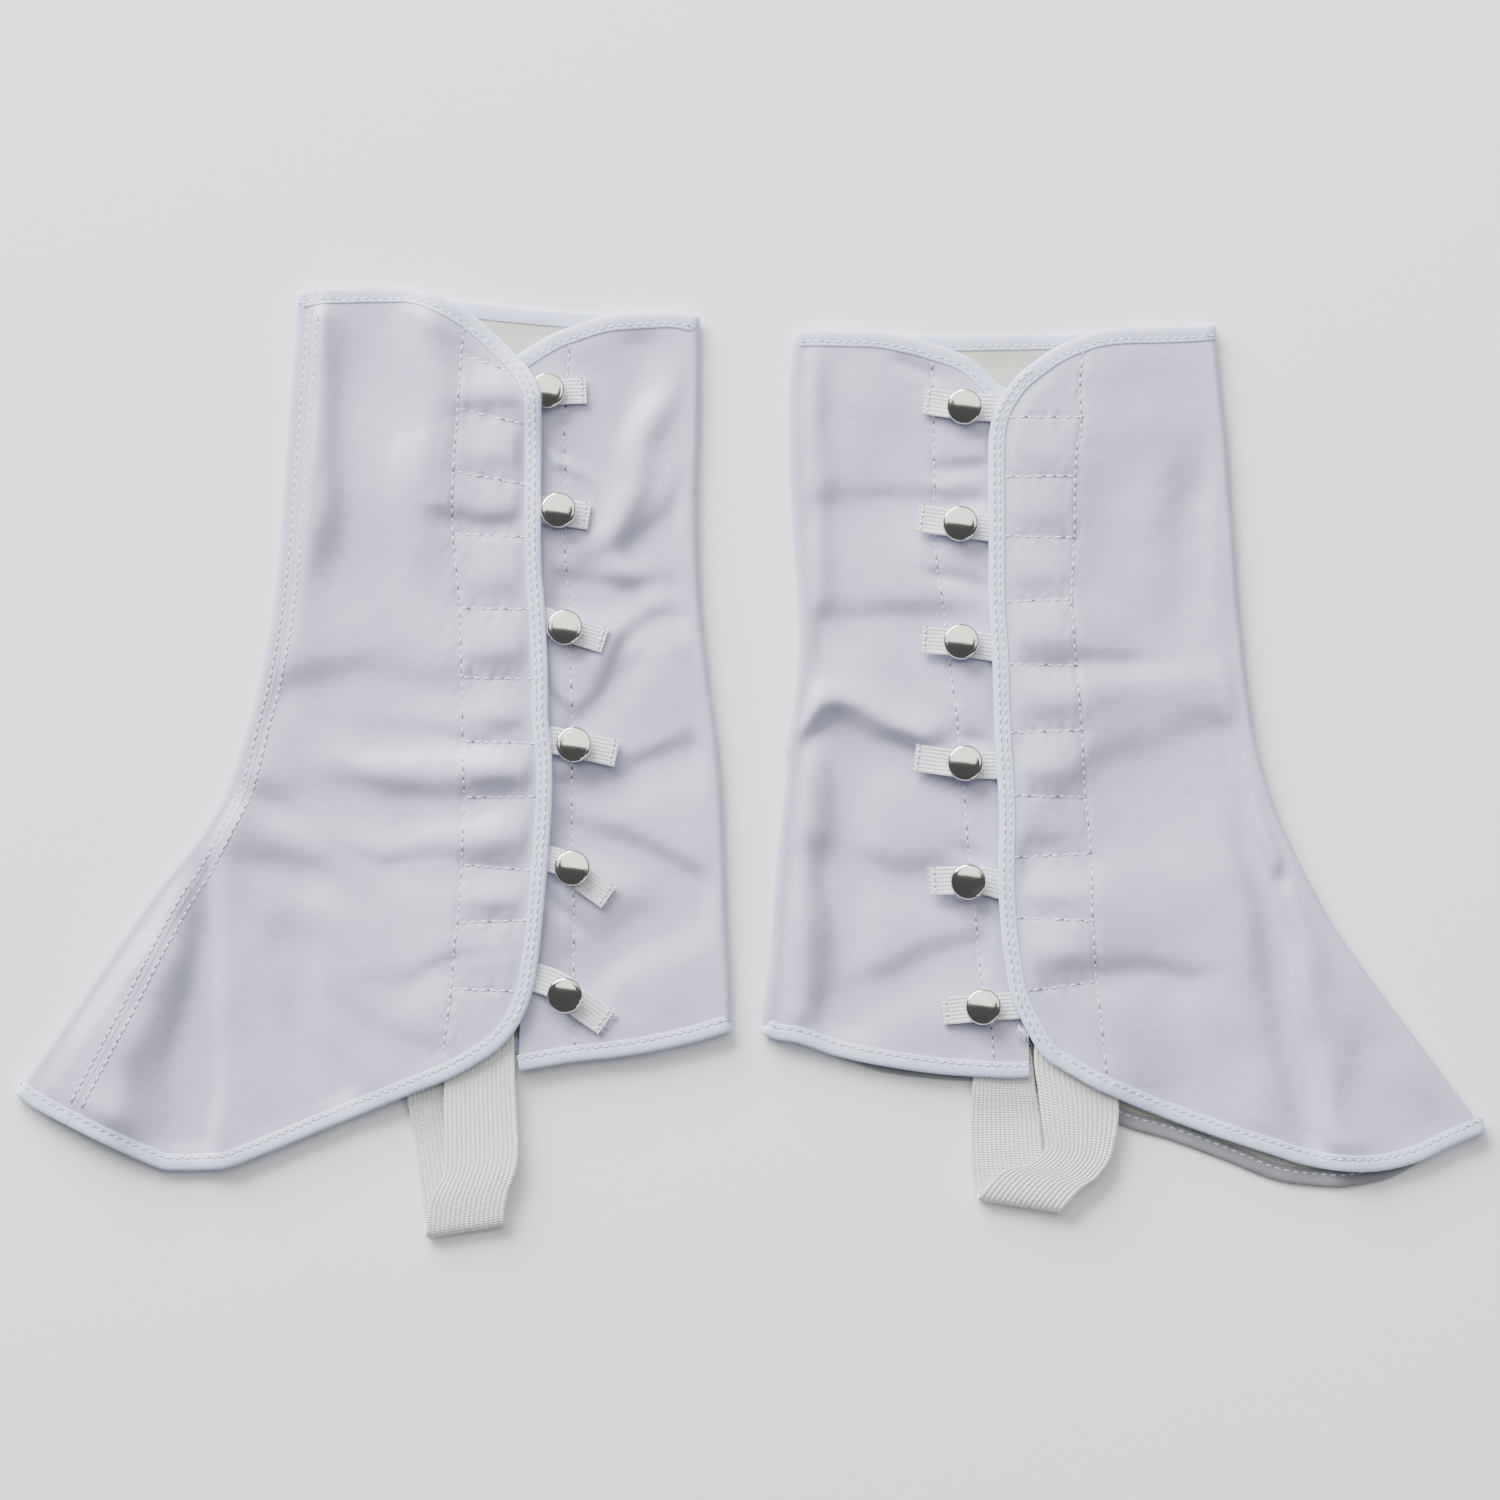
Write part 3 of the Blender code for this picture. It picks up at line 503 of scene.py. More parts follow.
@dataclass(frozen=True)
class LiningFinish:
    """Woven cotton backing of the vinyl: a matt cream cloth with a plain weave."""

    colour: str = "#D3D5C9"
    thread_mm: float = 0.8

    def make(self) -> bpy.types.Material:
        """The backing: two crossed waves make the plain weave, drawn coarse enough to show."""
        material, tree, shader = new_material("woven_cotton_backing")
        place = add_node(tree, "ShaderNodeTexCoord").outputs["Object"]
        scale = wave_scale(self.thread_mm)
        warp = add_node(tree, "ShaderNodeTexWave", {"Scale": scale, "bands_direction": "X"},
                        Vector=place)
        weft = add_node(tree, "ShaderNodeTexWave", {"Scale": scale, "bands_direction": "Y"},
                        Vector=place)
        weave = add_node(tree, "ShaderNodeMath", {"operation": "MULTIPLY"})
        tree.links.new(warp.outputs["Fac"], weave.inputs[0])
        tree.links.new(weft.outputs["Fac"], weave.inputs[1])
        noise = add_node(tree, "ShaderNodeTexNoise", {"Scale": 160.0, "Detail": 4.0},
                         Vector=place)
        colour = add_node(tree, "ShaderNodeMix", {"data_type": "RGBA"},
                          Factor=noise.outputs["Fac"])
        colour.inputs[6].default_value = linear(self.colour)
        colour.inputs[7].default_value = linear("#C6C9BB")
        tree.links.new(colour.outputs[2], shader.inputs["Base Color"])
        bump = add_node(tree, "ShaderNodeBump", {"Strength": 0.5, "Distance": 0.0003},
                        Height=weave.outputs["Value"])
        tree.links.new(bump.outputs["Normal"], shader.inputs["Normal"])
        shader.inputs["Roughness"].default_value = 0.9
        return material


@dataclass(frozen=True)
class ElasticFinish:
    """Braided elastic: off-white yarn over rubber, ribbed along its length."""

    name: str
    colour: str = "#F3F5EF"
    rib_gap_shade_colour: str = "#E2E4DE"
    relief: float = 0.45
    pick_mm: float = 0.9
    rib_mm: float = RIB_PITCH

    def make(self) -> bpy.types.Material:
        """The elastic: darker between ribs as painted shade, with the small cross picks of the braid."""
        material, tree, shader = new_material(self.name)
        place = add_node(tree, "ShaderNodeUVMap", {"uv_map": "along_across"}).outputs["UV"]
        picks = add_node(tree, "ShaderNodeTexWave",
                         {"Scale": wave_scale(self.pick_mm),
                          "bands_direction": "X", "Distortion": 0.6}, Vector=place)
        ribs = add_node(tree, "ShaderNodeTexWave",
                        {"Scale": wave_scale(self.rib_mm), "bands_direction": "Y"},
                        Vector=place)
        noise = add_node(tree, "ShaderNodeTexNoise", {"Scale": 900.0, "Detail": 3.0},
                         Vector=place)
        shade = add_node(tree, "ShaderNodeMath", {"operation": "MULTIPLY"})
        tree.links.new(ribs.outputs["Fac"], shade.inputs[0])
        tree.links.new(noise.outputs["Fac"], shade.inputs[1])
        # Between the ribs the yarn is painted darker: painted shade in the grooves, broken up by a random
        # mottle.
        colour = add_node(tree, "ShaderNodeMix", {"data_type": "RGBA"},
                          Factor=shade.outputs["Value"])
        colour.inputs[6].default_value = linear(self.rib_gap_shade_colour)
        colour.inputs[7].default_value = linear(self.colour)
        tree.links.new(colour.outputs[2], shader.inputs["Base Color"])
        bump = add_node(tree, "ShaderNodeBump", {"Strength": 0.55, "Distance": 0.0003},
                        Height=picks.outputs["Fac"])
        deeper = add_node(tree, "ShaderNodeBump",
                          {"Strength": self.relief, "Distance": 0.0004},
                          Height=ribs.outputs["Fac"], Normal=bump.outputs["Normal"])
        tree.links.new(deeper.outputs["Normal"], shader.inputs["Normal"])
        shader.inputs["Roughness"].default_value = 0.88
        shader.inputs["Sheen Weight"].default_value = 0.25
        return material


@dataclass(frozen=True)
class NickelFinish:
    """Polished nickel plate on a stamped button: bright, with faint handling marks."""

    colour: str = "#DEDCD2"

    def make(self) -> bpy.types.Material:
        """The plate: a mirror finish whose roughness varies a little with fine scuffs."""
        material, tree, shader = new_material("polished_nickel_plate")
        place = add_node(tree, "ShaderNodeTexCoord").outputs["Object"]
        scuffs = add_node(tree, "ShaderNodeTexNoise", {"Scale": 400.0, "Detail": 3.0},
                          Vector=place)
        rough = add_node(tree, "ShaderNodeMapRange", {"To Min": 0.12, "To Max": 0.17},
                         Value=scuffs.outputs["Fac"])
        tree.links.new(rough.outputs["Result"], shader.inputs["Roughness"])
        shader.inputs["Base Color"].default_value = linear(self.colour)
        shader.inputs["Metallic"].default_value = 1.0
        return material


@dataclass(frozen=True)
class ThreadFinish:
    """Polyester sewing thread in the tape's white, and the painted shade of its needle holes."""

    colour: str = "#EEF0F8"

    def make(self) -> bpy.types.Material:
        """The thread: a bright spun yarn with a tiny twist in its bump."""
        material, tree, shader = new_material("polyester_sewing_thread")
        place = add_node(tree, "ShaderNodeTexCoord").outputs["Object"]
        twist = add_node(tree, "ShaderNodeTexNoise", {"Scale": 2600.0, "Detail": 2.0},
                         Vector=place)
        bump = add_node(tree, "ShaderNodeBump", {"Strength": 0.4, "Distance": 0.0001},
                        Height=twist.outputs["Fac"])
        tree.links.new(bump.outputs["Normal"], shader.inputs["Normal"])
        shader.inputs["Base Color"].default_value = linear(self.colour)
        shader.inputs["Roughness"].default_value = 0.6
        return material

    def make_hole_shade(self, name: str, dark: str, pale: str) -> bpy.types.Material:
        """The needle hole: a matt dent coloured as painted shade, with a little unevenness."""
        material, tree, shader = new_material(name)
        place = add_node(tree, "ShaderNodeTexCoord").outputs["Object"]
        noise = add_node(tree, "ShaderNodeTexNoise", {"Scale": 900.0}, Vector=place)
        colour = add_node(tree, "ShaderNodeMix", {"data_type": "RGBA"},
                          Factor=noise.outputs["Fac"])
        colour.inputs[6].default_value = linear(dark)
        colour.inputs[7].default_value = linear(pale)
        tree.links.new(colour.outputs[2], shader.inputs["Base Color"])
        shader.inputs["Roughness"].default_value = 0.95
        return material


@dataclass(frozen=True)
class FloorFinish:
    """Plain pale table."""

    colour: str = "#F9F9FA"

    def make(self) -> bpy.types.Material:
        """A matt white laminate with hardly any mottle."""
        material, tree, shader = new_material("matt_white_table")
        place = add_node(tree, "ShaderNodeTexCoord").outputs["Object"]
        noise = add_node(tree, "ShaderNodeTexNoise", {"Scale": 4.0, "Detail": 2.0},
                         Vector=place)
        colour = add_node(tree, "ShaderNodeMix", {"data_type": "RGBA"},
                          Factor=noise.outputs["Fac"])
        colour.inputs[6].default_value = linear(self.colour)
        colour.inputs[7].default_value = linear("#F7F7F8")
        tree.links.new(colour.outputs[2], shader.inputs["Base Color"])
        shader.inputs["Roughness"].default_value = 0.8
        return material


@dataclass
class Finishes:
    """The materials that all pieces share."""

    vinyl: bpy.types.Material = field(default_factory=lambda: VinylFinish().make())
    tape: bpy.types.Material = field(default_factory=lambda: TapeFinish().make())
    # The inner hem tape is the white tape darkened in both colours: painted shade for the shadow that the
    # front layer casts on it.
    painted_shade_hem_tape: bpy.types.Material = field(default_factory=lambda: TapeFinish(
        "hem_tape_painted_shade", "#8E9094", "#84868A").make())
    lining: bpy.types.Material = field(default_factory=lambda: LiningFinish().make())
    # Each elastic's darker colour is painted shade between its ribs.
    foot_elastic: bpy.types.Material = field(
        default_factory=lambda: ElasticFinish("ribbed_foot_elastic").make())
    tab_elastic: bpy.types.Material = field(
        default_factory=lambda: ElasticFinish("ribbed_tab_elastic", "#F3F4F8", "#E4E5EA",
                                              relief=0.22).make())
    nickel: bpy.types.Material = field(default_factory=lambda: NickelFinish().make())
    thread: bpy.types.Material = field(default_factory=lambda: ThreadFinish().make())
    # Needle holes are painted shade: dark spots for the shade in each hole and the thread's shadow beside
    # it, paler on the tape.
    hole: bpy.types.Material = field(default_factory=lambda: ThreadFinish().make_hole_shade(
        "needle_hole_painted_shade_vinyl", "#50515A", "#70717B"))
    tape_hole: bpy.types.Material = field(default_factory=lambda: ThreadFinish().make_hole_shade(
        "needle_hole_painted_shade_tape", "#7E818F", "#989BAA"))


# Pattern tables


@dataclass(frozen=True)
class Crease:
    """A soft ridge along a path, or a trough where its height is negative.

    Its half widths on the left and on the right are those seen along the path.
    """

    height: float
    left: float
    right: float
    path: Points


@dataclass(frozen=True)
class FrayedEnd:
    """Loose yarns at a cut end of elastic, as thin tapered strands."""

    start: tuple[float, float]
    end: tuple[float, float]
    way: tuple[float, float]
    height: float
    length: float
    count: int = 22
    radius: float = 0.13

    def strands(self, seed: int) -> tuple[Array, Array, Array]:
        """Strands of three sides and four stations that fan out and sag.

        Args:
            seed: fixes their lengths and directions.

        Returns:
            Points, side faces and end faces.
        """
        rng = np.random.default_rng(seed)
        share = np.linspace(0.02, 0.98, self.count)[:, None]
        base = np.asarray(self.start) * (1 - share) + np.asarray(self.end) * share
        base = np.column_stack([base, self.height + rng.uniform(-0.35, 0.35, self.count)])
        way = np.asarray(self.way, dtype=float)
        way /= np.linalg.norm(way)
        fan = rng.normal(0.0, 0.28, self.count)
        heading = np.column_stack([way[0] - fan * way[1], way[1] + fan * way[0],
                                   rng.uniform(-0.12, 0.10, self.count)])
        reach = self.length * rng.uniform(0.35, 1.0, self.count)
        curl = rng.normal(0.0, 0.22, (self.count, 1)) * np.column_stack(
            [-heading[:, 1], heading[:, 0], np.zeros(self.count)])
        place = np.array((-0.35, 0.25, 0.65, 1.0))
        line = (base[:, None, :] + (reach[:, None] * place)[..., None] * heading[:, None, :]
                + (reach[:, None] * place ** 2)[..., None] * curl[:, None, :])
        turn = np.arange(3) * 2 * math.pi / 3
        across = np.column_stack([-heading[:, 1], heading[:, 0], np.zeros(self.count)])
        width = self.radius * np.array((1.0, 0.9, 0.7, 0.35))
        ring = (line[:, :, None, :]
                + (width[:, None] * np.cos(turn))[None, ..., None] * across[:, None, None, :]
                + (width[:, None] * np.sin(turn))[None, ..., None] * np.array((0.0, 0.0, 1.0)))
        index = np.arange(12).reshape(4, 3)
        around = np.concatenate([index, index[:, :1]], axis=1)
        quads = np.stack([around[:-1, :-1], around[:-1, 1:], around[1:, 1:],
                          around[1:, :-1]], axis=-1).reshape(-1, 4)
        caps = np.stack([index[0, ::-1], index[-1]])
        start = (np.arange(self.count) * 12)[:, None, None]
        return (ring.reshape(-1, 3), (quads[None] + start).reshape(-1, 4),
                (caps[None] + start).reshape(-1, 3))


@dataclass(frozen=True)
class Pattern:
    """Sizes of one spat, read off the photo and turned to millimetres.

    Outlines are (x, y) points. A flap row is (x, y) to (x, y) and the height of the puff below
    it. A tab is its width and its centre line. A button is x, y, its lean to the right and its tip
    to the foot in degrees, and the lift of the flap edge that lies on it. A strap row is one
    edge's x, y, the other's x, y, and z. A cut is a quarter's flat width, length and area, in
    metres, with what goes round its fold.
    """

    side: Side
    seam_on_top: bool
    fold: Points
    front_top: Points
    flap_corner: tuple[float, float]
    flap: Points
    hem_corner: tuple[float, float]
    front_hem: Points
    heel: Points
    rear_top: Points
    rear_hem: Points
    rear_hidden: Points
    inner_top: Points
    inner_hem: Points
    front_creases: Sequence[Crease]
    rear_creases: Sequence[Crease]
    flap_line: Points
    flap_rows: Points
    rear_line: Points
    tabs: Sequence[tuple[float, Points]]
    buttons: Points
    strap: Points
    frays: Sequence[FrayedEnd]
    front_cut: tuple[float, float, float]
    rear_cut: tuple[float, float, float]
    inner_cut: tuple[float, float, float]
    seed: int


# Distance from the front fold to the front seam: share of the fold's length, width
FRONT_SEAM = ((0.0, 3.4), (0.50, 3.4), (0.62, 5.5), (0.72, 9.0), (0.86, 14.0), (1.0, 18.0))

LEFT_PATTERN = Pattern(
    side=Side.LEFT,
    seam_on_top=True,
    fold=(
        (-167.5, 174.5), (-169.5, 148), (-172, 111), (-174.5, 76), (-178, 47), (-184, 19),
        (-193, -10), (-205, -30), (-218.5, -47), (-233, -68), (-249, -92), (-270.5, -123.5)),
    front_top=(
        (-167.5, 174.5), (-162, 175.2), (-149, 176.3), (-137.5, 176.5), (-124, 175.4),
        (-107.5, 168), (-97, 160.5)),
    flap_corner=(-87.5, 151.3),
    flap=(
        (-81.4, 144), (-77.8, 136.5), (-77.2, 129), (-77.2, 78), (-75.7, 54), (-74.6, 33),
        (-74.4, 16), (-73, 0), (-73, -15), (-74, -32), (-76.4, -61), (-78.4, -77),
        (-81, -89)),
    hem_corner=(-85.5, -98.8),
    front_hem=(
        (-92, -106.5), (-100, -112), (-111, -118), (-126, -124), (-156, -136),
        (-176, -144.3), (-191, -150), (-197, -151), (-213.5, -151.3), (-222, -148.7),
        (-244, -138.5), (-263, -128.8), (-270.5, -123.5)),
    heel=(
        (-19.2, 165.4), (-19.2, 133), (-20, 103.5), (-19.6, 74), (-18, 52), (-15.5, 29),
        (-13.3, 14), (-11.5, -2), (-10.4, -22), (-9.3, -48), (-8.1, -74), (-7.2, -100.3)),
    rear_top=(
        (-19.2, 165.4), (-30, 167.2), (-47.7, 166.3), (-57, 164.7), (-66, 161.7),
        (-74.4, 158.4), (-86.3, 151), (-103.6, 138.8)),
    rear_hem=(
        (-7.2, -100.3), (-20.7, -104.3), (-36, -107.7), (-50.5, -110), (-66, -111.7),
        (-84.7, -115)),
    rear_hidden=((-104, 60), (-102, -20), (-96, -58), (-85.6, -82)),
    inner_top=((-165, 171), (-140, 172), (-117, 172.4), (-80, 168.8), (-49, 165)),
    inner_hem=(
        (-263, -128), (-244, -135), (-222, -144), (-205, -146.5), (-191, -145),
        (-176, -139.5), (-156, -131), (-126, -119.5), (-100, -110.5), (-66, -107.5),
        (-36, -104.5)),
    front_creases=(
        Crease(2.0, 8, 17, ((-161, 168), (-161, 130), (-161, 112))),
        Crease(0.9, 8, 22, ((-163, 84), (-165, 62))),
        Crease(2.3, 12, 9, ((-119, 164), (-119, 128), (-122, 96))),
        Crease(-1.4, 8, 16, ((-160, 27), (-143, 29), (-124, 26))),
        Crease(-1.0, 4, 9, ((-134, 10.4), (-109, 5.5))),
        Crease(-1.7, 11, 9, ((-106, -17), (-128, -18.5), (-143, -17))),
        Crease(0.9, 7, 9, ((-136, -3), (-109, -2))),
        Crease(-0.9, 7, 7, ((-180, -14), (-174, -18))),
        Crease(-1.4, 7, 8, ((-173, -42), (-162, -46))),
        Crease(-1.0, 4.5, 10, ((-128, -38), (-109, -40))),
        Crease(-0.8, 4.5, 9, ((-122, -80), (-110, -77))),
        Crease(-1.4, 6, 8, ((-167, -70), (-162, -98), (-150, -121))),
        Crease(-2.2, 5, 10, ((-199.5, -44), (-201.5, -78), (-202.8, -109), (-203.5, -146))),
        Crease(-1.3, 5, 15, ((-202.8, -96), (-203.5, -148))),
        Crease(2.5, 12, 20, ((-203, -42), (-217, -78), (-230, -112), (-235, -132))),
        Crease(-0.6, 6, 10, ((-140, -100), (-118, -112))),
        Crease(-0.8, 3.5, 6, ((-109, 88.6), (-84, 88.6)))),
    rear_creases=(
        Crease(-2.4, 5.5, 9, ((-67, 62), (-48, 62))),
        Crease(1.4, 6, 7, ((-35, 129), (-43, 106), (-49, 91), (-48, 75), (-38, 60),
                           (-31.5, 52))),
        Crease(-1.3, 6, 11, ((-42, 81.6), (-21, 96))),
        Crease(-1.5, 4.5, 8, ((-48.3, 36.3), (-44.4, 46.6), (-32.7, 51.8), (-20, 52))),
        Crease(-1.1, 8, 4, ((-48, 28.5), (-56, 20.7), (-65, 13))),
        Crease(-1.4, 5, 11, ((-62.5, -9), (-49.6, -7.3), (-27.6, 1.3))),
        Crease(-1.8, 6, 10, ((-57.4, -29.8), (-44.4, -35), (-26, -44))),
        Crease(-1.8, 12, 9, ((-58, -76), (-45, -68), (-36, -64))),
        Crease(-0.7, 7, 7, ((-41, 148), (-43, 115))),
        Crease(-0.9, 2.8, 2.8, ((-77, 72.5), (-69, 65))),
        Crease(-0.9, 2.8, 2.8, ((-74, 24), (-66, 15.5))),
        Crease(-0.9, 3, 3, ((-74, -22), (-62, -30))),
        Crease(-0.9, 3, 3, ((-75, -52), (-65, -60))),
        Crease(0.8, 3.5, 3.5, ((-76, 112), (-66, 108)))),
    flap_line=(
        (-105.8, 161.5), (-107, 151), (-108.4, 127), (-110, 102.5), (-110, 83.5),
        (-107.7, 59.5), (-106.6, 32.6), (-106.2, 5.6), (-105.5, -15), (-106.2, -36),
        (-107.3, -55.5), (-108.8, -69), (-110.3, -87), (-112.8, -108)),
    flap_rows=(
        (-107, 151, -86.2, 142.5, 1.4), (-107.5, 130, -84.7, 124.3, 1.0), (-109, 106.6, -82.5, 101.6, 0.8),
        (-109.5, 83.6, -79, 82.1, 1.0), (-107.3, 56, -80, 55.5, 1.5), (-106.6, 30.3, -80, 29.6, 1.6),
        (-105.8, 6.7, -78.4, 5.7, 1.9), (-105.5, -14, -79, -14, 1.5), (-106, -39, -80, -41.1, 1.3),
        (-107.3, -60.3, -81, -59.4, 0.9), (-110, -84.7, -86, -85.7, 0.0)),
    rear_line=(
        (-67, 155.5), (-69, 123), (-68.5, 103.5), (-68.5, 77.7), (-67.5, 62), (-66.5, 36),
        (-65.9, 16), (-65.9, -22), (-64.9, -57), (-65.1, -74), (-64.5, -105)),
    tabs=(
        (9.6, ((-83, 135.8), (-75.9, 136.5), (-60.7, 137.2))),
        (10.0, ((-83, 93.4), (-71.6, 92.1), (-59.6, 90.3))),
        (9.5, ((-83, 54.6), (-68.8, 48.8), (-53.7, 44))),
        (10.0, ((-81, 8.6), (-65.1, 5.6), (-49.2, 2.2))),
        (9.5, ((-80.5, -35.8), (-70, -38), (-61.5, -44.5), (-52.2, -51))),
        (10.5, ((-84, -79), (-71, -83.4), (-63, -90), (-53, -97)))),
    buttons=(
        (-75.4, 136.9, 5, 0, 5.6), (-71.1, 92.3, 5, 0, 1.6), (-68.5, 48.7, 2, -2, 0),
        (-65.1, 5.2, 1, -3, 0), (-65.5, -40.3, 0, -1, 0), (-67.9, -86.8, -3, 9, 0)),
    strap=(
        (-112.5, -107, -87.2, -93, 5.4), (-112.6, -119.5, -86.9, -101, 5.4),
        (-112.5, -131.5, -86.5, -118.5, 5.2), (-112.3, -145, -85.7, -134.3, 5.0),
        (-112.9, -153, -85.2, -143, 5.3), (-115.8, -158.7, -86, -150.6, 5.6),
        (-118, -164, -88.8, -159, 5.5), (-118.8, -171, -90.3, -166.5, 4.9),
        (-119, -174.6, -90.3, -170.2, 4.1), (-119, -175.6, -90.3, -171.3, 2.6),
        (-119.2, -174.4, -90.6, -170, 1.2), (-119.6, -171, -91.4, -166.5, 0.62),
        (-121.7, -155.5, -94.3, -150, 0.62), (-124, -139, -97, -133, 0.62),
        (-126.2, -125.5, -98.8, -120.3, 2.6), (-127.5, -113, -100.5, -106, 2.8)),
    frays=(
        FrayedEnd((-49.3, -93.2), (-56.7, -100.8), (0.72, -0.69), 6.66, 2.6, 30),
        FrayedEnd((-49.3, -47.2), (-55.2, -54.8), (0.79, -0.61), 6.66, 0.9, 12)),
    front_cut=(0.195, 0.33, 0.034),
    rear_cut=(0.13, 0.285, 0.031),
    inner_cut=(0.25, 0.33, 0.049),
    seed=11)

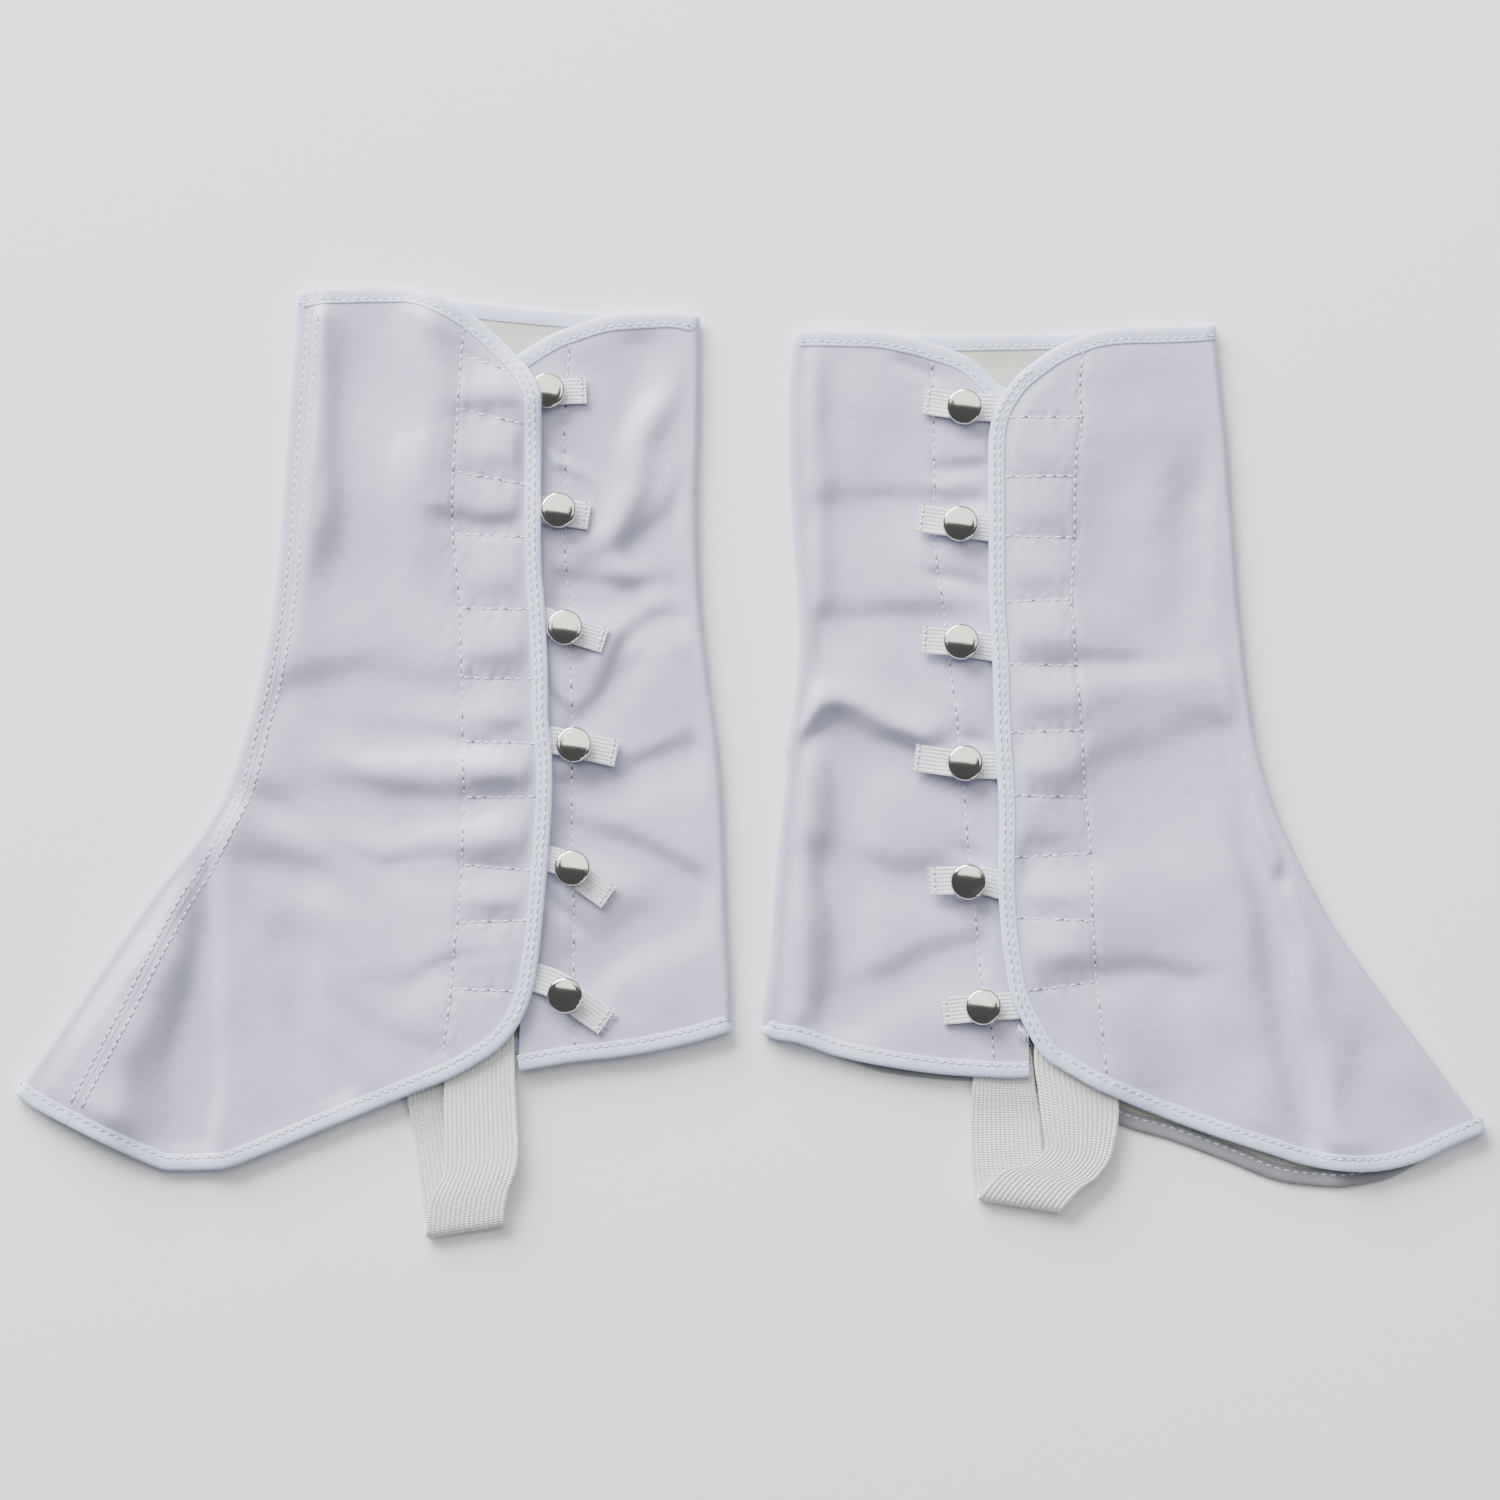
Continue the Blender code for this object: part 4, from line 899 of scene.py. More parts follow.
RIGHT_PATTERN = Pattern(
    side=Side.RIGHT,
    seam_on_top=False,
    fold=(
        (172.4, 162.4), (174.3, 144), (176.5, 122), (178.7, 91), (181.3, 53), (185.5, 15),
        (190, -5), (197, -25.5), (211.5, -55), (222.5, -72), (235, -89.5), (248.5, -107.5),
        (262, -126), (270.5, -137.3)),
    front_top=(
        (172.4, 162.4), (162, 161.6), (149.5, 161), (135.4, 160.2), (126, 158.4),
        (114.3, 153.7)),
    flap_corner=(104.7, 147.3),
    flap=(
        (98.5, 142), (94, 136), (90.7, 130), (88.9, 123), (88.3, 113.6), (88.3, 82),
        (88.3, 59), (89.5, 38), (90.3, 11), (91.8, -19), (91.4, -44), (92.5, -64), (94, -76),
        (95.8, -86.6), (99.2, -95)),
    hem_corner=(105, -106),
    front_hem=(
        (109.5, -111.2), (115, -114.7), (126, -121), (136, -125.4), (147.5, -130.2),
        (168.7, -138), (190, -145), (204, -149.4), (218.3, -151.7), (232.4, -151.5),
        (246.6, -148), (258, -142.6), (270.5, -137.3)),
    heel=(
        (17.4, 160.2), (15.2, 140.6), (15, 107), (16.7, 81), (18.1, 59), (18.3, 41),
        (16.7, 20), (13.5, 5), (14, -4), (11.5, -26), (9.3, -50), (8.1, -70), (6.3, -83.3),
        (4.3, -100.6)),
    rear_top=(
        (17.4, 160.2), (43.5, 159.8), (55, 158.4), (67, 155.4), (78.8, 151.3), (86, 146.5),
        (94.2, 139), (112, 130)),
    rear_hem=(
        (4.3, -100.6), (9, -103.2), (17.7, -104.6), (31.8, -109.4), (47.7, -112.8), (70, -116),
        (94, -117.5), (102.8, -117.2)),
    rear_hidden=((112, 40), (111, -10), (107, -55), (102.8, -85)),
    inner_top=((150, 159.9), (124, 159.6), (69.4, 158.9), (43, 157)),
    inner_hem=(
        (18, -106), (32, -111), (48, -114.7), (70, -117.7), (94, -118.8), (110, -122),
        (136, -134.5), (155, -140.2), (176, -148), (194, -155), (213, -157.4),
        (222.6, -157), (236, -154)),
    front_creases=(
        Crease(0.6, 7, 10, ((126, 26), (147, 28), (165, 29.5), (174, 26))),
        Crease(-2.1, 10, 18, ((121, -22), (133, -11), (147, -4), (166, 3), (182, 6))),
        Crease(-0.8, 4, 22, ((182, -12), (191.5, -46), (200, -82), (212, -146))),
        Crease(-1.0, 4, 8, ((182, -12), (191.5, -46), (200, -82), (212, -146))),
        Crease(1.5, 10, 4, ((187, -12), (197, -46), (205.5, -83), (217, -144))),
        Crease(1.1, 12, 12, ((177, -24), (181, -70), (188, -116))),
        Crease(-1.3, 3, 3, ((198.4, -43), (204, -33))),
        Crease(-0.9, 5, 10, ((128, -78.4), (152, -80))),
        Crease(-0.8, 4, 7, ((121, 35), (137, 35))),
        Crease(0.8, 12, 12, ((150, 120), (146, 84))),
        Crease(-0.7, 9, 9, ((166, 96), (160, 60)))),
    rear_creases=(
        Crease(-1.2, 6, 13, ((32.7, 93.6), (46.5, 92), (64, 95))),
        Crease(-1.4, 6, 12, ((34, 51), (63, 51))),
        Crease(1.8, 8, 4, ((15, 13.3), (26.4, 21.6), (41.5, 19.5), (59, 9.5))),
        Crease(-1.1, 4, 11, ((16.4, 4.5), (29, 12), (46.5, 7), (60.3, 0.7))),
        Crease(-1.7, 9, 9, ((34, -8), (35, -46), (34, -88))),
        Crease(1.3, 9, 6, ((23, -6), (22, -46), (20, -90))),
        Crease(-1.3, 7, 13, ((46.5, -42), (79, -47))),
        Crease(-1.3, 6, 11, ((50.3, -82), (81.7, -69.6))),
        Crease(-0.8, 3.5, 3.5, ((71.6, 108.7), (84, 107.4))),
        Crease(-0.9, 3, 3, ((80, 96), (89, 95))),
        Crease(-0.8, 3.5, 3.5, ((71.6, 68.5), (88, 63.5))),
        Crease(-0.9, 3, 3, ((81.7, 8.3), (90, 5.7))),
        Crease(-0.8, 3, 3, ((83, -35.7), (90.5, -38))),
        Crease(-0.9, 3.5, 3.5, ((85.4, -70.8), (93, -83.4))),
        Crease(-0.6, 3, 3, ((56.6, 147.6), (66.6, 143.8))),
        Crease(0.9, 6, 6, ((24, 150), (24, 60)))),
    flap_line=(
        (124.3, 156), (122.5, 140.6), (122.8, 123), (120.8, 111.4), (120.2, 83), (119, 60),
        (120.5, 36), (122.5, 11), (123.7, -11), (125.8, -34.4), (126.1, -59), (127.5, -81),
        (129.4, -99), (131.3, -118.8)),
    flap_rows=(
        (95.5, 127, 123, 127, 0.5), (93.6, 104.7, 120.6, 105, 0.7), (93, 82.7, 120, 82.3, 0.9),
        (94, 58.3, 119, 59.3, 1.1), (94.5, 35.2, 120.3, 34.8, 0.9), (95, 9.7, 122.3, 10.7, 1.3),
        (96, -13.5, 123.7, -14, 1.0), (96.5, -36.3, 125.6, -34.8, 1.5), (96.3, -58.5, 126, -59.8, 1.3),
        (100, -85.8, 127.5, -82, 0.0)),
    rear_line=(
        (67.7, 149), (68.3, 123), (68.5, 104), (69, 76), (72.7, 50), (74.4, 33), (77.3, 8.5),
        (79.2, -11), (80.7, -33), (83, -54.6), (85.5, -81), (88.8, -98), (89.8, -109.5)),
    tabs=(
        (10.2, ((95, 130.6), (79.7, 131.4), (64.6, 133.6))),
        (10.0, ((96, 85), (77.9, 87.4), (62.2, 89.7))),
        (10.0, ((96, 40.5), (78.1, 43.2), (63.4, 44.4))),
        (10.0, ((97, -2.4), (79.4, -1.8), (60.7, 0.7))),
        (10.3, ((98, -48.4), (88, -45.2), (80.5, -44.6), (66.6, -45))),
        (10.0, ((102.5, -90.5), (85.8, -91.6), (70.9, -92.9)))),
    buttons=(
        (79.7, 131.1, -4, 6, 0), (77.9, 87.4, 0, 2, 0), (78.1, 43.4, 0, -1, 0),
        (79.4, -1.5, 1, 1, 0), (80.5, -45, -2, 9, 0), (85.8, -91.4, 0, 0, 0)),
    strap=(
        (106, -95, 134, -112, 5.4), (104.6, -109.5, 135.4, -125.8, 5.4),
        (106.2, -122.8, 135.6, -131, 5.2), (107.7, -135.4, 134.7, -138.4, 5.0),
        (108.8, -143.2, 132.2, -147.6, 5.0), (102.5, -149, 127.3, -154.2, 5.2),
        (94, -151, 123.8, -156.5, 5.4), (90, -154, 120.8, -158.8, 5.4),
        (86.6, -157.8, 117, -163, 5.2), (84.4, -160.8, 114.9, -165.7, 4.3),
        (83.9, -161.8, 114.2, -166.6, 2.7), (83.6, -161, 113.8, -165.6, 1.2),
        (82.4, -157.3, 111, -159.8, 0.62), (81.3, -145.8, 108, -144.8, 0.62),
        (81.3, -131, 107, -131.4, 0.8), (82, -120.5, 105.2, -121, 2.6),
        (82.5, -107, 103.5, -106, 2.8)),
    frays=(
        FrayedEnd((66.5, -39.9), (66.7, -50.1), (-1.0, 0.02), 6.66, 1.8, 26),
        FrayedEnd((98.6, -99.0), (102.6, -101.6), (-0.25, -1.0), 6.6, 4.6, 22)),
    front_cut=(0.195, 0.33, 0.035),
    rear_cut=(0.13, 0.285, 0.033),
    inner_cut=(0.25, 0.33, 0.043),
    seed=23)


# Surfaces


def crease_relief(plan: Array, creases: Sequence[Crease]) -> Array:
    """Sum of height * exp(-(gap / half width)^2) over the creases.

    Past the ends of a crease the gap along it counts against twice the wider of its half widths.
    The plan is first shifted by soft waves, so that no crease runs quite straight.
    """
    relief = np.zeros(plan.shape[:-1])
    plan = plan + 1.3 * np.stack([wave_noise(plan, 36.0, 71), wave_noise(plan, 36.0, 72)],
                                 axis=-1)
    for crease in creases:
        knots = np.asarray(crease.path, dtype=float)
        if len(knots) > 2:
            knots = smooth_path(knots, 4 * len(knots))
        nearest = np.full(plan.shape[:-1], np.inf)
        score = np.full(plan.shape[:-1], np.inf)
        for start, step in zip(knots[:-1], np.diff(knots, axis=0)):
            length = np.linalg.norm(step)
            along = step / length
            away = plan - start
            place = away @ along
            beside = away @ np.array((-along[1], along[0]))
            past = np.maximum(np.maximum(-place, place - length), 0.0)
            gap = past ** 2 + beside ** 2
            closer = gap < nearest
            width = np.where(beside > 0, crease.left, crease.right)
            value = (past / max(crease.left, crease.right) / 2) ** 2 + (beside / width) ** 2
            nearest = np.where(closer, gap, nearest)
            score = np.where(closer, value, score)
        relief += crease.height * np.exp(-score)
    return relief


@dataclass
class Quarter:
    """One cloth quarter in plan, between a fold line, a far edge, a top and a hem."""

    fold: Array
    far: Array
    top: Array
    hem: Array
    top_outline: Array
    hem_outline: Array
    far_outline: Array

    def widths(self, v: Array) -> Array:
        """Straight distance across the quarter at shares v of its height."""
        return np.linalg.norm(at_share(self.far, v) - at_share(self.fold, v), axis=-1)

    def plan(self, u: Array, v: Array) -> Array:
        """Coons patch: the blend of opposite sides and ends, less the blend of corners."""
        across = u[..., None]
        down = v[..., None]
        sides = (1 - across) * at_share(self.fold, v) + across * at_share(self.far, v)
        ends = (1 - down) * at_share(self.top, u) + down * at_share(self.hem, u)
        corners = ((1 - across) * (1 - down) * self.fold[0] + across * (1 - down) * self.far[0]
                   + (1 - across) * down * self.fold[-1] + across * down * self.far[-1])
        return sides + ends - corners

    def rail(self, edge: Edge, u: Array, inset: float) -> Array:
        """Plan points at shares u of a bound edge, an inset in from its outline."""
        outline, cloth = ((self.top_outline, self.top) if edge is Edge.TOP
                          else (self.hem_outline, self.hem))
        start = at_share(outline, u)
        inward = at_share(cloth, u) - start
        inward /= np.linalg.norm(inward, axis=-1, keepdims=True)
        return start + inward * inset


def trimmed_fold(outline: Points, middle: Array, start: Array, end: Array) -> Array:
    """Fold line a fold radius inside its outline, from one corner point to the other."""
    path = smooth_path(outline)
    inner = path + inward_normals(path, middle) * FOLD_RADIUS
    length = path_length(inner)[-1]
    kept = at_lengths(inner, np.linspace(CLOTH_SETBACK, length - CLOTH_SETBACK,
                                         CURVE_SAMPLES))
    kept[0] = start
    kept[-1] = end
    return at_lengths(kept, np.linspace(0.0, path_length(kept)[-1], CURVE_SAMPLES))


def front_quarter(pattern: Pattern) -> Quarter:
    """Front quarter: its top, flap edge and hem are one bound edge with round corners."""
    knots = (tuple(pattern.front_top) + (pattern.flap_corner,) + tuple(pattern.flap)
             + (pattern.hem_corner,) + tuple(pattern.front_hem))
    path = smooth_path(knots, samples=3000)
    along = path_length(path)
    middle = (np.mean(pattern.flap, axis=0) + np.mean(pattern.fold, axis=0)) / 2
    tangent = np.gradient(path, axis=0)
    tangent /= np.linalg.norm(tangent, axis=1)[:, None]
    turn = 1.0 if pattern.flap[0][0] > pattern.fold[0][0] else -1.0
    inner = path + np.stack([tangent[:, 1], -tangent[:, 0]], axis=1) * turn * CLOTH_SETBACK
    corners = [along[np.argmin(np.linalg.norm(path - np.asarray(corner), axis=1))]
               for corner in (pattern.flap_corner, pattern.hem_corner)]
    spans = ((FOLD_RADIUS, corners[0]), (corners[0], corners[1]),
             (along[-1] - FOLD_RADIUS, corners[1]))
    outer_edges = []
    inner_edges = []
    for first, last in spans:
        places = np.linspace(first, last, CURVE_SAMPLES)
        outer_edges.append(np.stack([np.interp(places, along, path[:, k]) for k in (0, 1)], 1))
        inner_edges.append(np.stack([np.interp(places, along, inner[:, k])
                                     for k in (0, 1)], 1))
    fold = trimmed_fold(pattern.fold, middle, inner_edges[0][0], inner_edges[2][0])
    return Quarter(fold=fold, far=inner_edges[1], top=inner_edges[0], hem=inner_edges[2],
                   top_outline=outer_edges[0], hem_outline=outer_edges[2],
                   far_outline=outer_edges[1])


def rear_quarter(pattern: Pattern) -> Quarter:
    """Heel quarter: bound at the top and the hem, with a raw edge hidden under the flap."""
    middle = np.mean(tuple(pattern.heel) + tuple(pattern.rear_hidden), axis=0)
    edges = []
    for knots in (pattern.rear_top, pattern.rear_hem):
        path = smooth_path(knots)
        outer = at_lengths(path, np.linspace(FOLD_RADIUS, path_length(path)[-1],
                                             CURVE_SAMPLES))
        edges.append((outer, outer + inward_normals(outer, middle) * CLOTH_SETBACK))
    (top_outline, top), (hem_outline, hem) = edges
    fold = trimmed_fold(pattern.heel, middle, top[0], hem[0])
    far = smooth_path((tuple(top[-1]),) + tuple(pattern.rear_hidden) + (tuple(hem[-1]),))
    return Quarter(fold=fold, far=far, top=top, hem=hem, top_outline=top_outline,
                   hem_outline=hem_outline, far_outline=far)


def between(points: Points, front_side: Array, back_side: Array, end: int) -> Array:
    """The points between the ends of two side lines, ordered from front to back."""
    array = np.asarray(points, dtype=float)
    low, high = sorted((front_side[end, 0], back_side[end, 0]))
    kept = array[(array[:, 0] > low + 4) & (array[:, 0] < high - 4)]
    order = np.argsort(kept[:, 0])
    return kept[order[::-1] if front_side[end, 0] > back_side[end, 0] else order]


def inner_quarter(pattern: Pattern, front_side: Array, back_side: Array) -> Quarter:
    """Inner side of the leg in plan, between its front and back lines from outline to outline."""
    middle = (front_side[len(front_side) // 2] + back_side[len(back_side) // 2]) / 2
    edges = []
    for knots, end in ((pattern.inner_top, 0), (pattern.inner_hem, -1)):
        rows = (front_side[end][None], between(knots, front_side, back_side, end),
                back_side[end][None])
        outline = smooth_path(np.vstack(rows))
        edges.append((outline, outline + inward_normals(outline, middle) * CLOTH_SETBACK))
    (top_outline, top), (hem_outline, hem) = edges
    sides = []
    for side, index in ((front_side, 0), (back_side, -1)):
        length = path_length(side)[-1]
        kept = at_lengths(side, np.linspace(CLOTH_SETBACK, length - CLOTH_SETBACK,
                                            CURVE_SAMPLES))
        top[index] = kept[0]
        hem[index] = kept[-1]
        sides.append(kept)
    return Quarter(fold=sides[0], far=sides[1], top=top, hem=hem, top_outline=top_outline,
                   hem_outline=hem_outline, far_outline=sides[1])


@dataclass
class FrontSurface:
    """Height of the front quarter's middle surface over its plan."""

    pattern: Pattern
    quarter: Quarter
    groove: float = 0.35
    puff_half_width: float = 12.0
    puff_gain: float = 2.1
    deepest: float = 3.1

    def __post_init__(self) -> None:
        """Keep the bound top and hem, and the stitched lines, that the height depends on."""
        self.rows = np.asarray(self.pattern.flap_rows, dtype=float)
        self.line = smooth_path(self.pattern.flap_line, 300)

    def height(self, plan: Array) -> Array:
        """Lift over the heel quarter, plus creases, puffs, stitch grooves and unevenness.

        The lift falls from the flap edge by a smooth step. Everything else fades out at the
        fold and at the flap's tape, and partly at the top and the hem.
        """
        quarter = self.quarter
        to_flap = path_gap(plan, quarter.far_outline)
        to_fold = path_gap(plan, quarter.fold)
        to_ends = np.minimum(path_gap(plan, quarter.top_outline, 40),
                             path_gap(plan, quarter.hem_outline, 60))
        lift = FLAP_LIFT * (1 - smooth_step((to_flap - FLAP_FLAT) / FLAP_SLOPE))
        calm = smooth_step(to_fold / 9.0)
        edge = smooth_step((to_flap - 5.5) / 6.0) * (
            0.45 + 0.55 * smooth_step((to_ends - 3.0) / 9.0))
        relief = RELIEF_GAIN * crease_relief(plan, self.pattern.front_creases)
        relief *= 1 + 0.14 * wave_noise(plan, 40.0, self.pattern.seed + 3)
        relief += self.puff_gain * self.puffs(plan)
        relief += 0.95 * wave_noise(plan, 72.0, self.pattern.seed)
        relief += 0.12 * wave_noise(plan, 24.0, self.pattern.seed + 1)
        relief = soft_floor(relief, self.deepest)
        near_rows = np.minimum(span_gap(plan, self.rows[:, :2], self.rows[:, 2:4]),
                               path_gap(plan, self.line, 60))
        grooves = -self.groove * np.exp(-(near_rows / 1.2) ** 2)
        pucker = 0.16 * np.exp(-(near_rows / 5.0) ** 2) * wave_noise(
            plan, 5.5, self.pattern.seed + 2)
        rise = np.zeros(plan.shape[:-1])
        for x, y, _, _, amount in self.pattern.buttons:
            gap = np.linalg.norm(plan - np.array((x, y)), axis=-1)
            rise += amount * np.exp(-(gap / 15.0) ** 2)
        return (UPPER_LAYER + lift + calm * rise
                + calm * edge * (relief + grooves + pucker))

    def puffs(self, plan: Array) -> Array:
        """Soft puffs of the padded flap, fullest just above the lower row of each."""
        relief = np.zeros(plan.shape[:-1])
        for upper, lower in zip(self.rows[:-1], self.rows[1:]):
            centre = (upper[:2] + upper[2:4]) * 0.21 + (lower[:2] + lower[2:4]) * 0.29
            gap = (upper[1] + upper[3] - lower[1] - lower[3]) / 2
            across = (plan[..., 0] - centre[0]) / self.puff_half_width
            down = plan[..., 1] - centre[1]
            width = np.where(down > 0, 0.44 * gap, 0.26 * gap)
            relief += upper[4] * np.exp(-across ** 2 - (down / width) ** 2)
        return relief


@dataclass
class RearSurface:
    """Height of the heel quarter's middle surface over its plan."""

    pattern: Pattern
    quarter: Quarter
    groove: float = 0.35
    deepest: float = 3.1

    def __post_init__(self) -> None:
        """Keep the stitched line that the height depends on."""
        self.line = smooth_path(self.pattern.rear_line, 300)

    def height(self, plan: Array) -> Array:
        """Creases and unevenness, level under the flap and where the tabs are sewn."""
        cover = self.pattern.flap[6][0]
        direction = math.copysign(1.0, cover)
        to_ends = np.minimum(path_gap(plan, self.quarter.top_outline, 40),
                             path_gap(plan, self.quarter.hem_outline, 30))
        calm = smooth_step(path_gap(plan, self.quarter.fold) / 7.0)
        calm = calm * smooth_step((cover - plan[..., 0]) * direction / 7.0 + 0.4)
        calm = calm * (0.3 + 0.7 * smooth_step((to_ends - 4.0) / 8.0))
        quiet = np.ones(plan.shape[:-1])
        for x, y, *_ in self.pattern.buttons:
            gap = np.linalg.norm(plan - np.array((x, y)), axis=-1)
            quiet = quiet * smooth_step((gap - 8.0) / 11.0)
        relief = RELIEF_GAIN * crease_relief(plan, self.pattern.rear_creases)
        relief *= 1 + 0.14 * wave_noise(plan, 40.0, self.pattern.seed + 8)
        relief += 0.55 * wave_noise(plan, 52.0, self.pattern.seed + 5)
        relief += 0.12 * wave_noise(plan, 18.0, self.pattern.seed + 6)
        relief = soft_floor(relief, self.deepest)
        relief = np.minimum(relief, 0.0) + quiet * np.maximum(relief, 0.0)
        near = path_gap(plan, self.line, 60)
        groove = -self.groove * np.exp(-(near / 1.2) ** 2)
        pucker = 0.14 * np.exp(-(near / 4.0) ** 2) * wave_noise(plan, 5.0,
                                                               self.pattern.seed + 7)
        return UPPER_LAYER + calm * (relief + groove + quiet * pucker)


def lower_height(gap: Array) -> Array:
    """Height of the inner side's middle: flat on the table, lifted into its tape's fold."""
    return CLOTH_HALF + (TAPE_HALF - CLOTH_HALF) * (1 - smooth_step((gap - 6.5) / 6.0))


def fold_points(start: Array, outward: Array, top_z: Array, low_z: Array,
                steps: int = 12) -> Array:
    """Points round a fold, half an ellipse from the upper to the lower layer.

    Args:
        start: plan points where the fold begins.
        outward: plan unit vectors that point out of the fold.
        top_z: height of the upper layer.
        low_z: height of the lower layer.
        steps: how many spans the half turn has.

    Returns:
        Points, rows by steps - 1 by 3, without the first and the last.
    """
    angles = np.linspace(math.pi / 2, -math.pi / 2, steps + 1)[1:-1]
    plan = start[:, None, :] + outward[:, None, :] * (
        FOLD_RADIUS * np.cos(angles))[None, :, None]
    middle = (top_z + low_z)[:, None] / 2
    half = (top_z - low_z)[:, None] / 2
    return np.dstack([plan, middle + half * np.sin(angles)[None, :]])


def outward_at_fold(quarter: Quarter, v: Array) -> Array:
    """Plan unit vectors that point out of the fold at shares v."""
    u = np.zeros((len(v), 2))
    u[:, 1] = 4.0 / quarter.widths(v)
    plan = quarter.plan(u, np.repeat(v[:, None], 2, axis=1))
    out = plan[:, 0] - plan[:, 1]
    return out / np.linalg.norm(out, axis=1, keepdims=True)


# Stitching


@dataclass
class StitchRun:
    """A row of stitches along a path on a surface."""

    path: Array
    normal: Array
    pitch: float = STITCH_PITCH
    on_tape: bool = False


@dataclass(frozen=True)
class Stitcher:
    """Lays thread stitches and needle holes along runs, as one mesh of each spat."""

    thread_radius: float = 0.30
    stitch_share: float = 0.70
    hole_radius: float = 0.33
    hole_length: float = 0.72

    def build(self, name: str, runs: Sequence[StitchRun],
              finishes: Finishes) -> bpy.types.Object:
        """One joined mesh of all stitches.

        Each stitch is a capsule of three rings and two tips that dips at its ends, and each
        hole is a shallow cone between two stitches, dark with painted shade.

        Args:
            name: the piece's name.
            runs: the rows of stitches.
            finishes: thread and needle hole finishes.

        Returns:
            The new object.
        """
        ordered = sorted(runs, key=lambda run: run.on_tape)
        places = [self.place(run) for run in ordered]
        centre, tangent, normal, pitch = (np.concatenate(part) for part in zip(*places))
        side = np.cross(normal, tangent)
        on_cloth = sum(len(p[0]) for p, run in zip(places, ordered) if not run.on_tape)
        points, quads, tips = self.capsules(centre, tangent, normal, side, pitch)
        spot, spot_faces = self.holes(centre, tangent, normal, side, pitch)
        spot_faces = spot_faces + len(points)
        cut = on_cloth * len(spot_faces) // len(centre)
        return new_mesh_object(
            name, np.concatenate([points, spot]),
            (quads, tips, spot_faces[:cut], spot_faces[cut:]),
            [finishes.thread, finishes.hole, finishes.tape_hole], (0, 0, 1, 2),
            sharp_degrees=80.0)

    def place(self, run: StitchRun) -> tuple[Array, Array, Array, Array]:
        """Middle, direction, normal and pitch of each stitch of a run."""
        length = path_length(run.path)[-1]
        count = max(2, int(length / run.pitch))
        places = (np.arange(count) + 0.5) * length / count
        tangent = (at_lengths(run.path, np.minimum(places + 0.5, length))
                   - at_lengths(run.path, np.maximum(places - 0.5, 0.0)))
        tangent /= np.linalg.norm(tangent, axis=1, keepdims=True)
        normal = at_share(run.normal, places / length)
        normal /= np.linalg.norm(normal, axis=1, keepdims=True)
        return (at_lengths(run.path, places), tangent, normal,
                np.full(count, length / count))

    def capsules(self, centre: Array, tangent: Array, normal: Array, side: Array,
                 pitch: Array) -> tuple[Array, Array, Array]:
        """Thread of every stitch.

        Args:
            centre: middle of each stitch on the surface.
            tangent: direction of each stitch.
            normal: surface normal at each stitch.
            side: direction across each stitch.
            pitch: distance from stitch to stitch.

        Returns:
            Points, side faces and tip faces.
        """
        sides = 6
        turn = np.arange(sides) * 2 * math.pi / sides
        rings = [np.column_stack([np.full(sides, place), np.cos(turn) * width,
                                  np.sin(turn) * width + rise])
                 for place, width, rise in ((-0.38, 0.75, 0.05), (0.0, 1.0, 0.55),
                                            (0.38, 0.75, 0.05))]
        capsule = np.vstack(rings + [np.array(((-0.5, 0.0, -0.7), (0.5, 0.0, -0.7)))])
        scale = np.stack([pitch * self.stitch_share, np.full(len(pitch), self.thread_radius),
                          np.full(len(pitch), self.thread_radius)], axis=1)
        local = capsule[None, :, :] * scale[:, None, :]
        points = (centre[:, None, :] + local[..., :1] * tangent[:, None, :]
                  + local[..., 1:2] * side[:, None, :] + local[..., 2:] * normal[:, None, :])
        ring = np.arange(sides)
        following = (ring + 1) % sides
        quads = np.concatenate([np.stack([ring + k * sides, following + k * sides,
                                          following + (k + 1) * sides, ring + (k + 1) * sides],
                                         axis=1) for k in (0, 1)])
        tips = np.concatenate([
            np.stack([following, ring, np.full(sides, 3 * sides)], axis=1),
            np.stack([ring + 2 * sides, following + 2 * sides,
                      np.full(sides, 3 * sides + 1)], axis=1)])
        start = (np.arange(len(centre)) * len(capsule))[:, None, None]
        return (points.reshape(-1, 3), (quads[None] + start).reshape(-1, 4),
                (tips[None] + start).reshape(-1, 3))

    def holes(self, centre: Array, tangent: Array, normal: Array, side: Array,
              pitch: Array) -> tuple[Array, Array]:
        """Needle holes at the end of each stitch, as flat cones that point down; their finish is painted
        shade.

        Args:
            centre: middle of each stitch.
            tangent: direction of each stitch.
            normal: surface normal at each stitch.
            side: direction across each stitch.
            pitch: distance from stitch to stitch.

        Returns:
            Points and triangles.
        """
        sides = 7
        turn = np.arange(sides) * 2 * math.pi / sides
        spot = centre + tangent * (pitch / 2)[:, None] + normal * 0.035
        rim = (spot[:, None, :]
               + side[:, None, :] * (np.cos(turn) * self.hole_radius)[None, :, None]
               + tangent[:, None, :] * (np.sin(turn) * self.hole_length)[None, :, None])
        middle = spot[:, None, :] + normal[:, None, :] * 0.01
        below = spot[:, None, :] - normal[:, None, :] * 0.5
        points = np.concatenate([rim, middle, below], axis=1)
        ring = np.arange(sides)
        following = (ring + 1) % sides
        top = np.stack([following, ring, np.full(sides, sides)], axis=1)
        bottom = np.stack([ring, following, np.full(sides, sides + 1)], axis=1)
        faces = np.concatenate([top, bottom])
        start = (np.arange(len(centre)) * (sides + 2))[:, None, None]
        return points.reshape(-1, 3), (faces[None] + start).reshape(-1, 3)


# Pieces


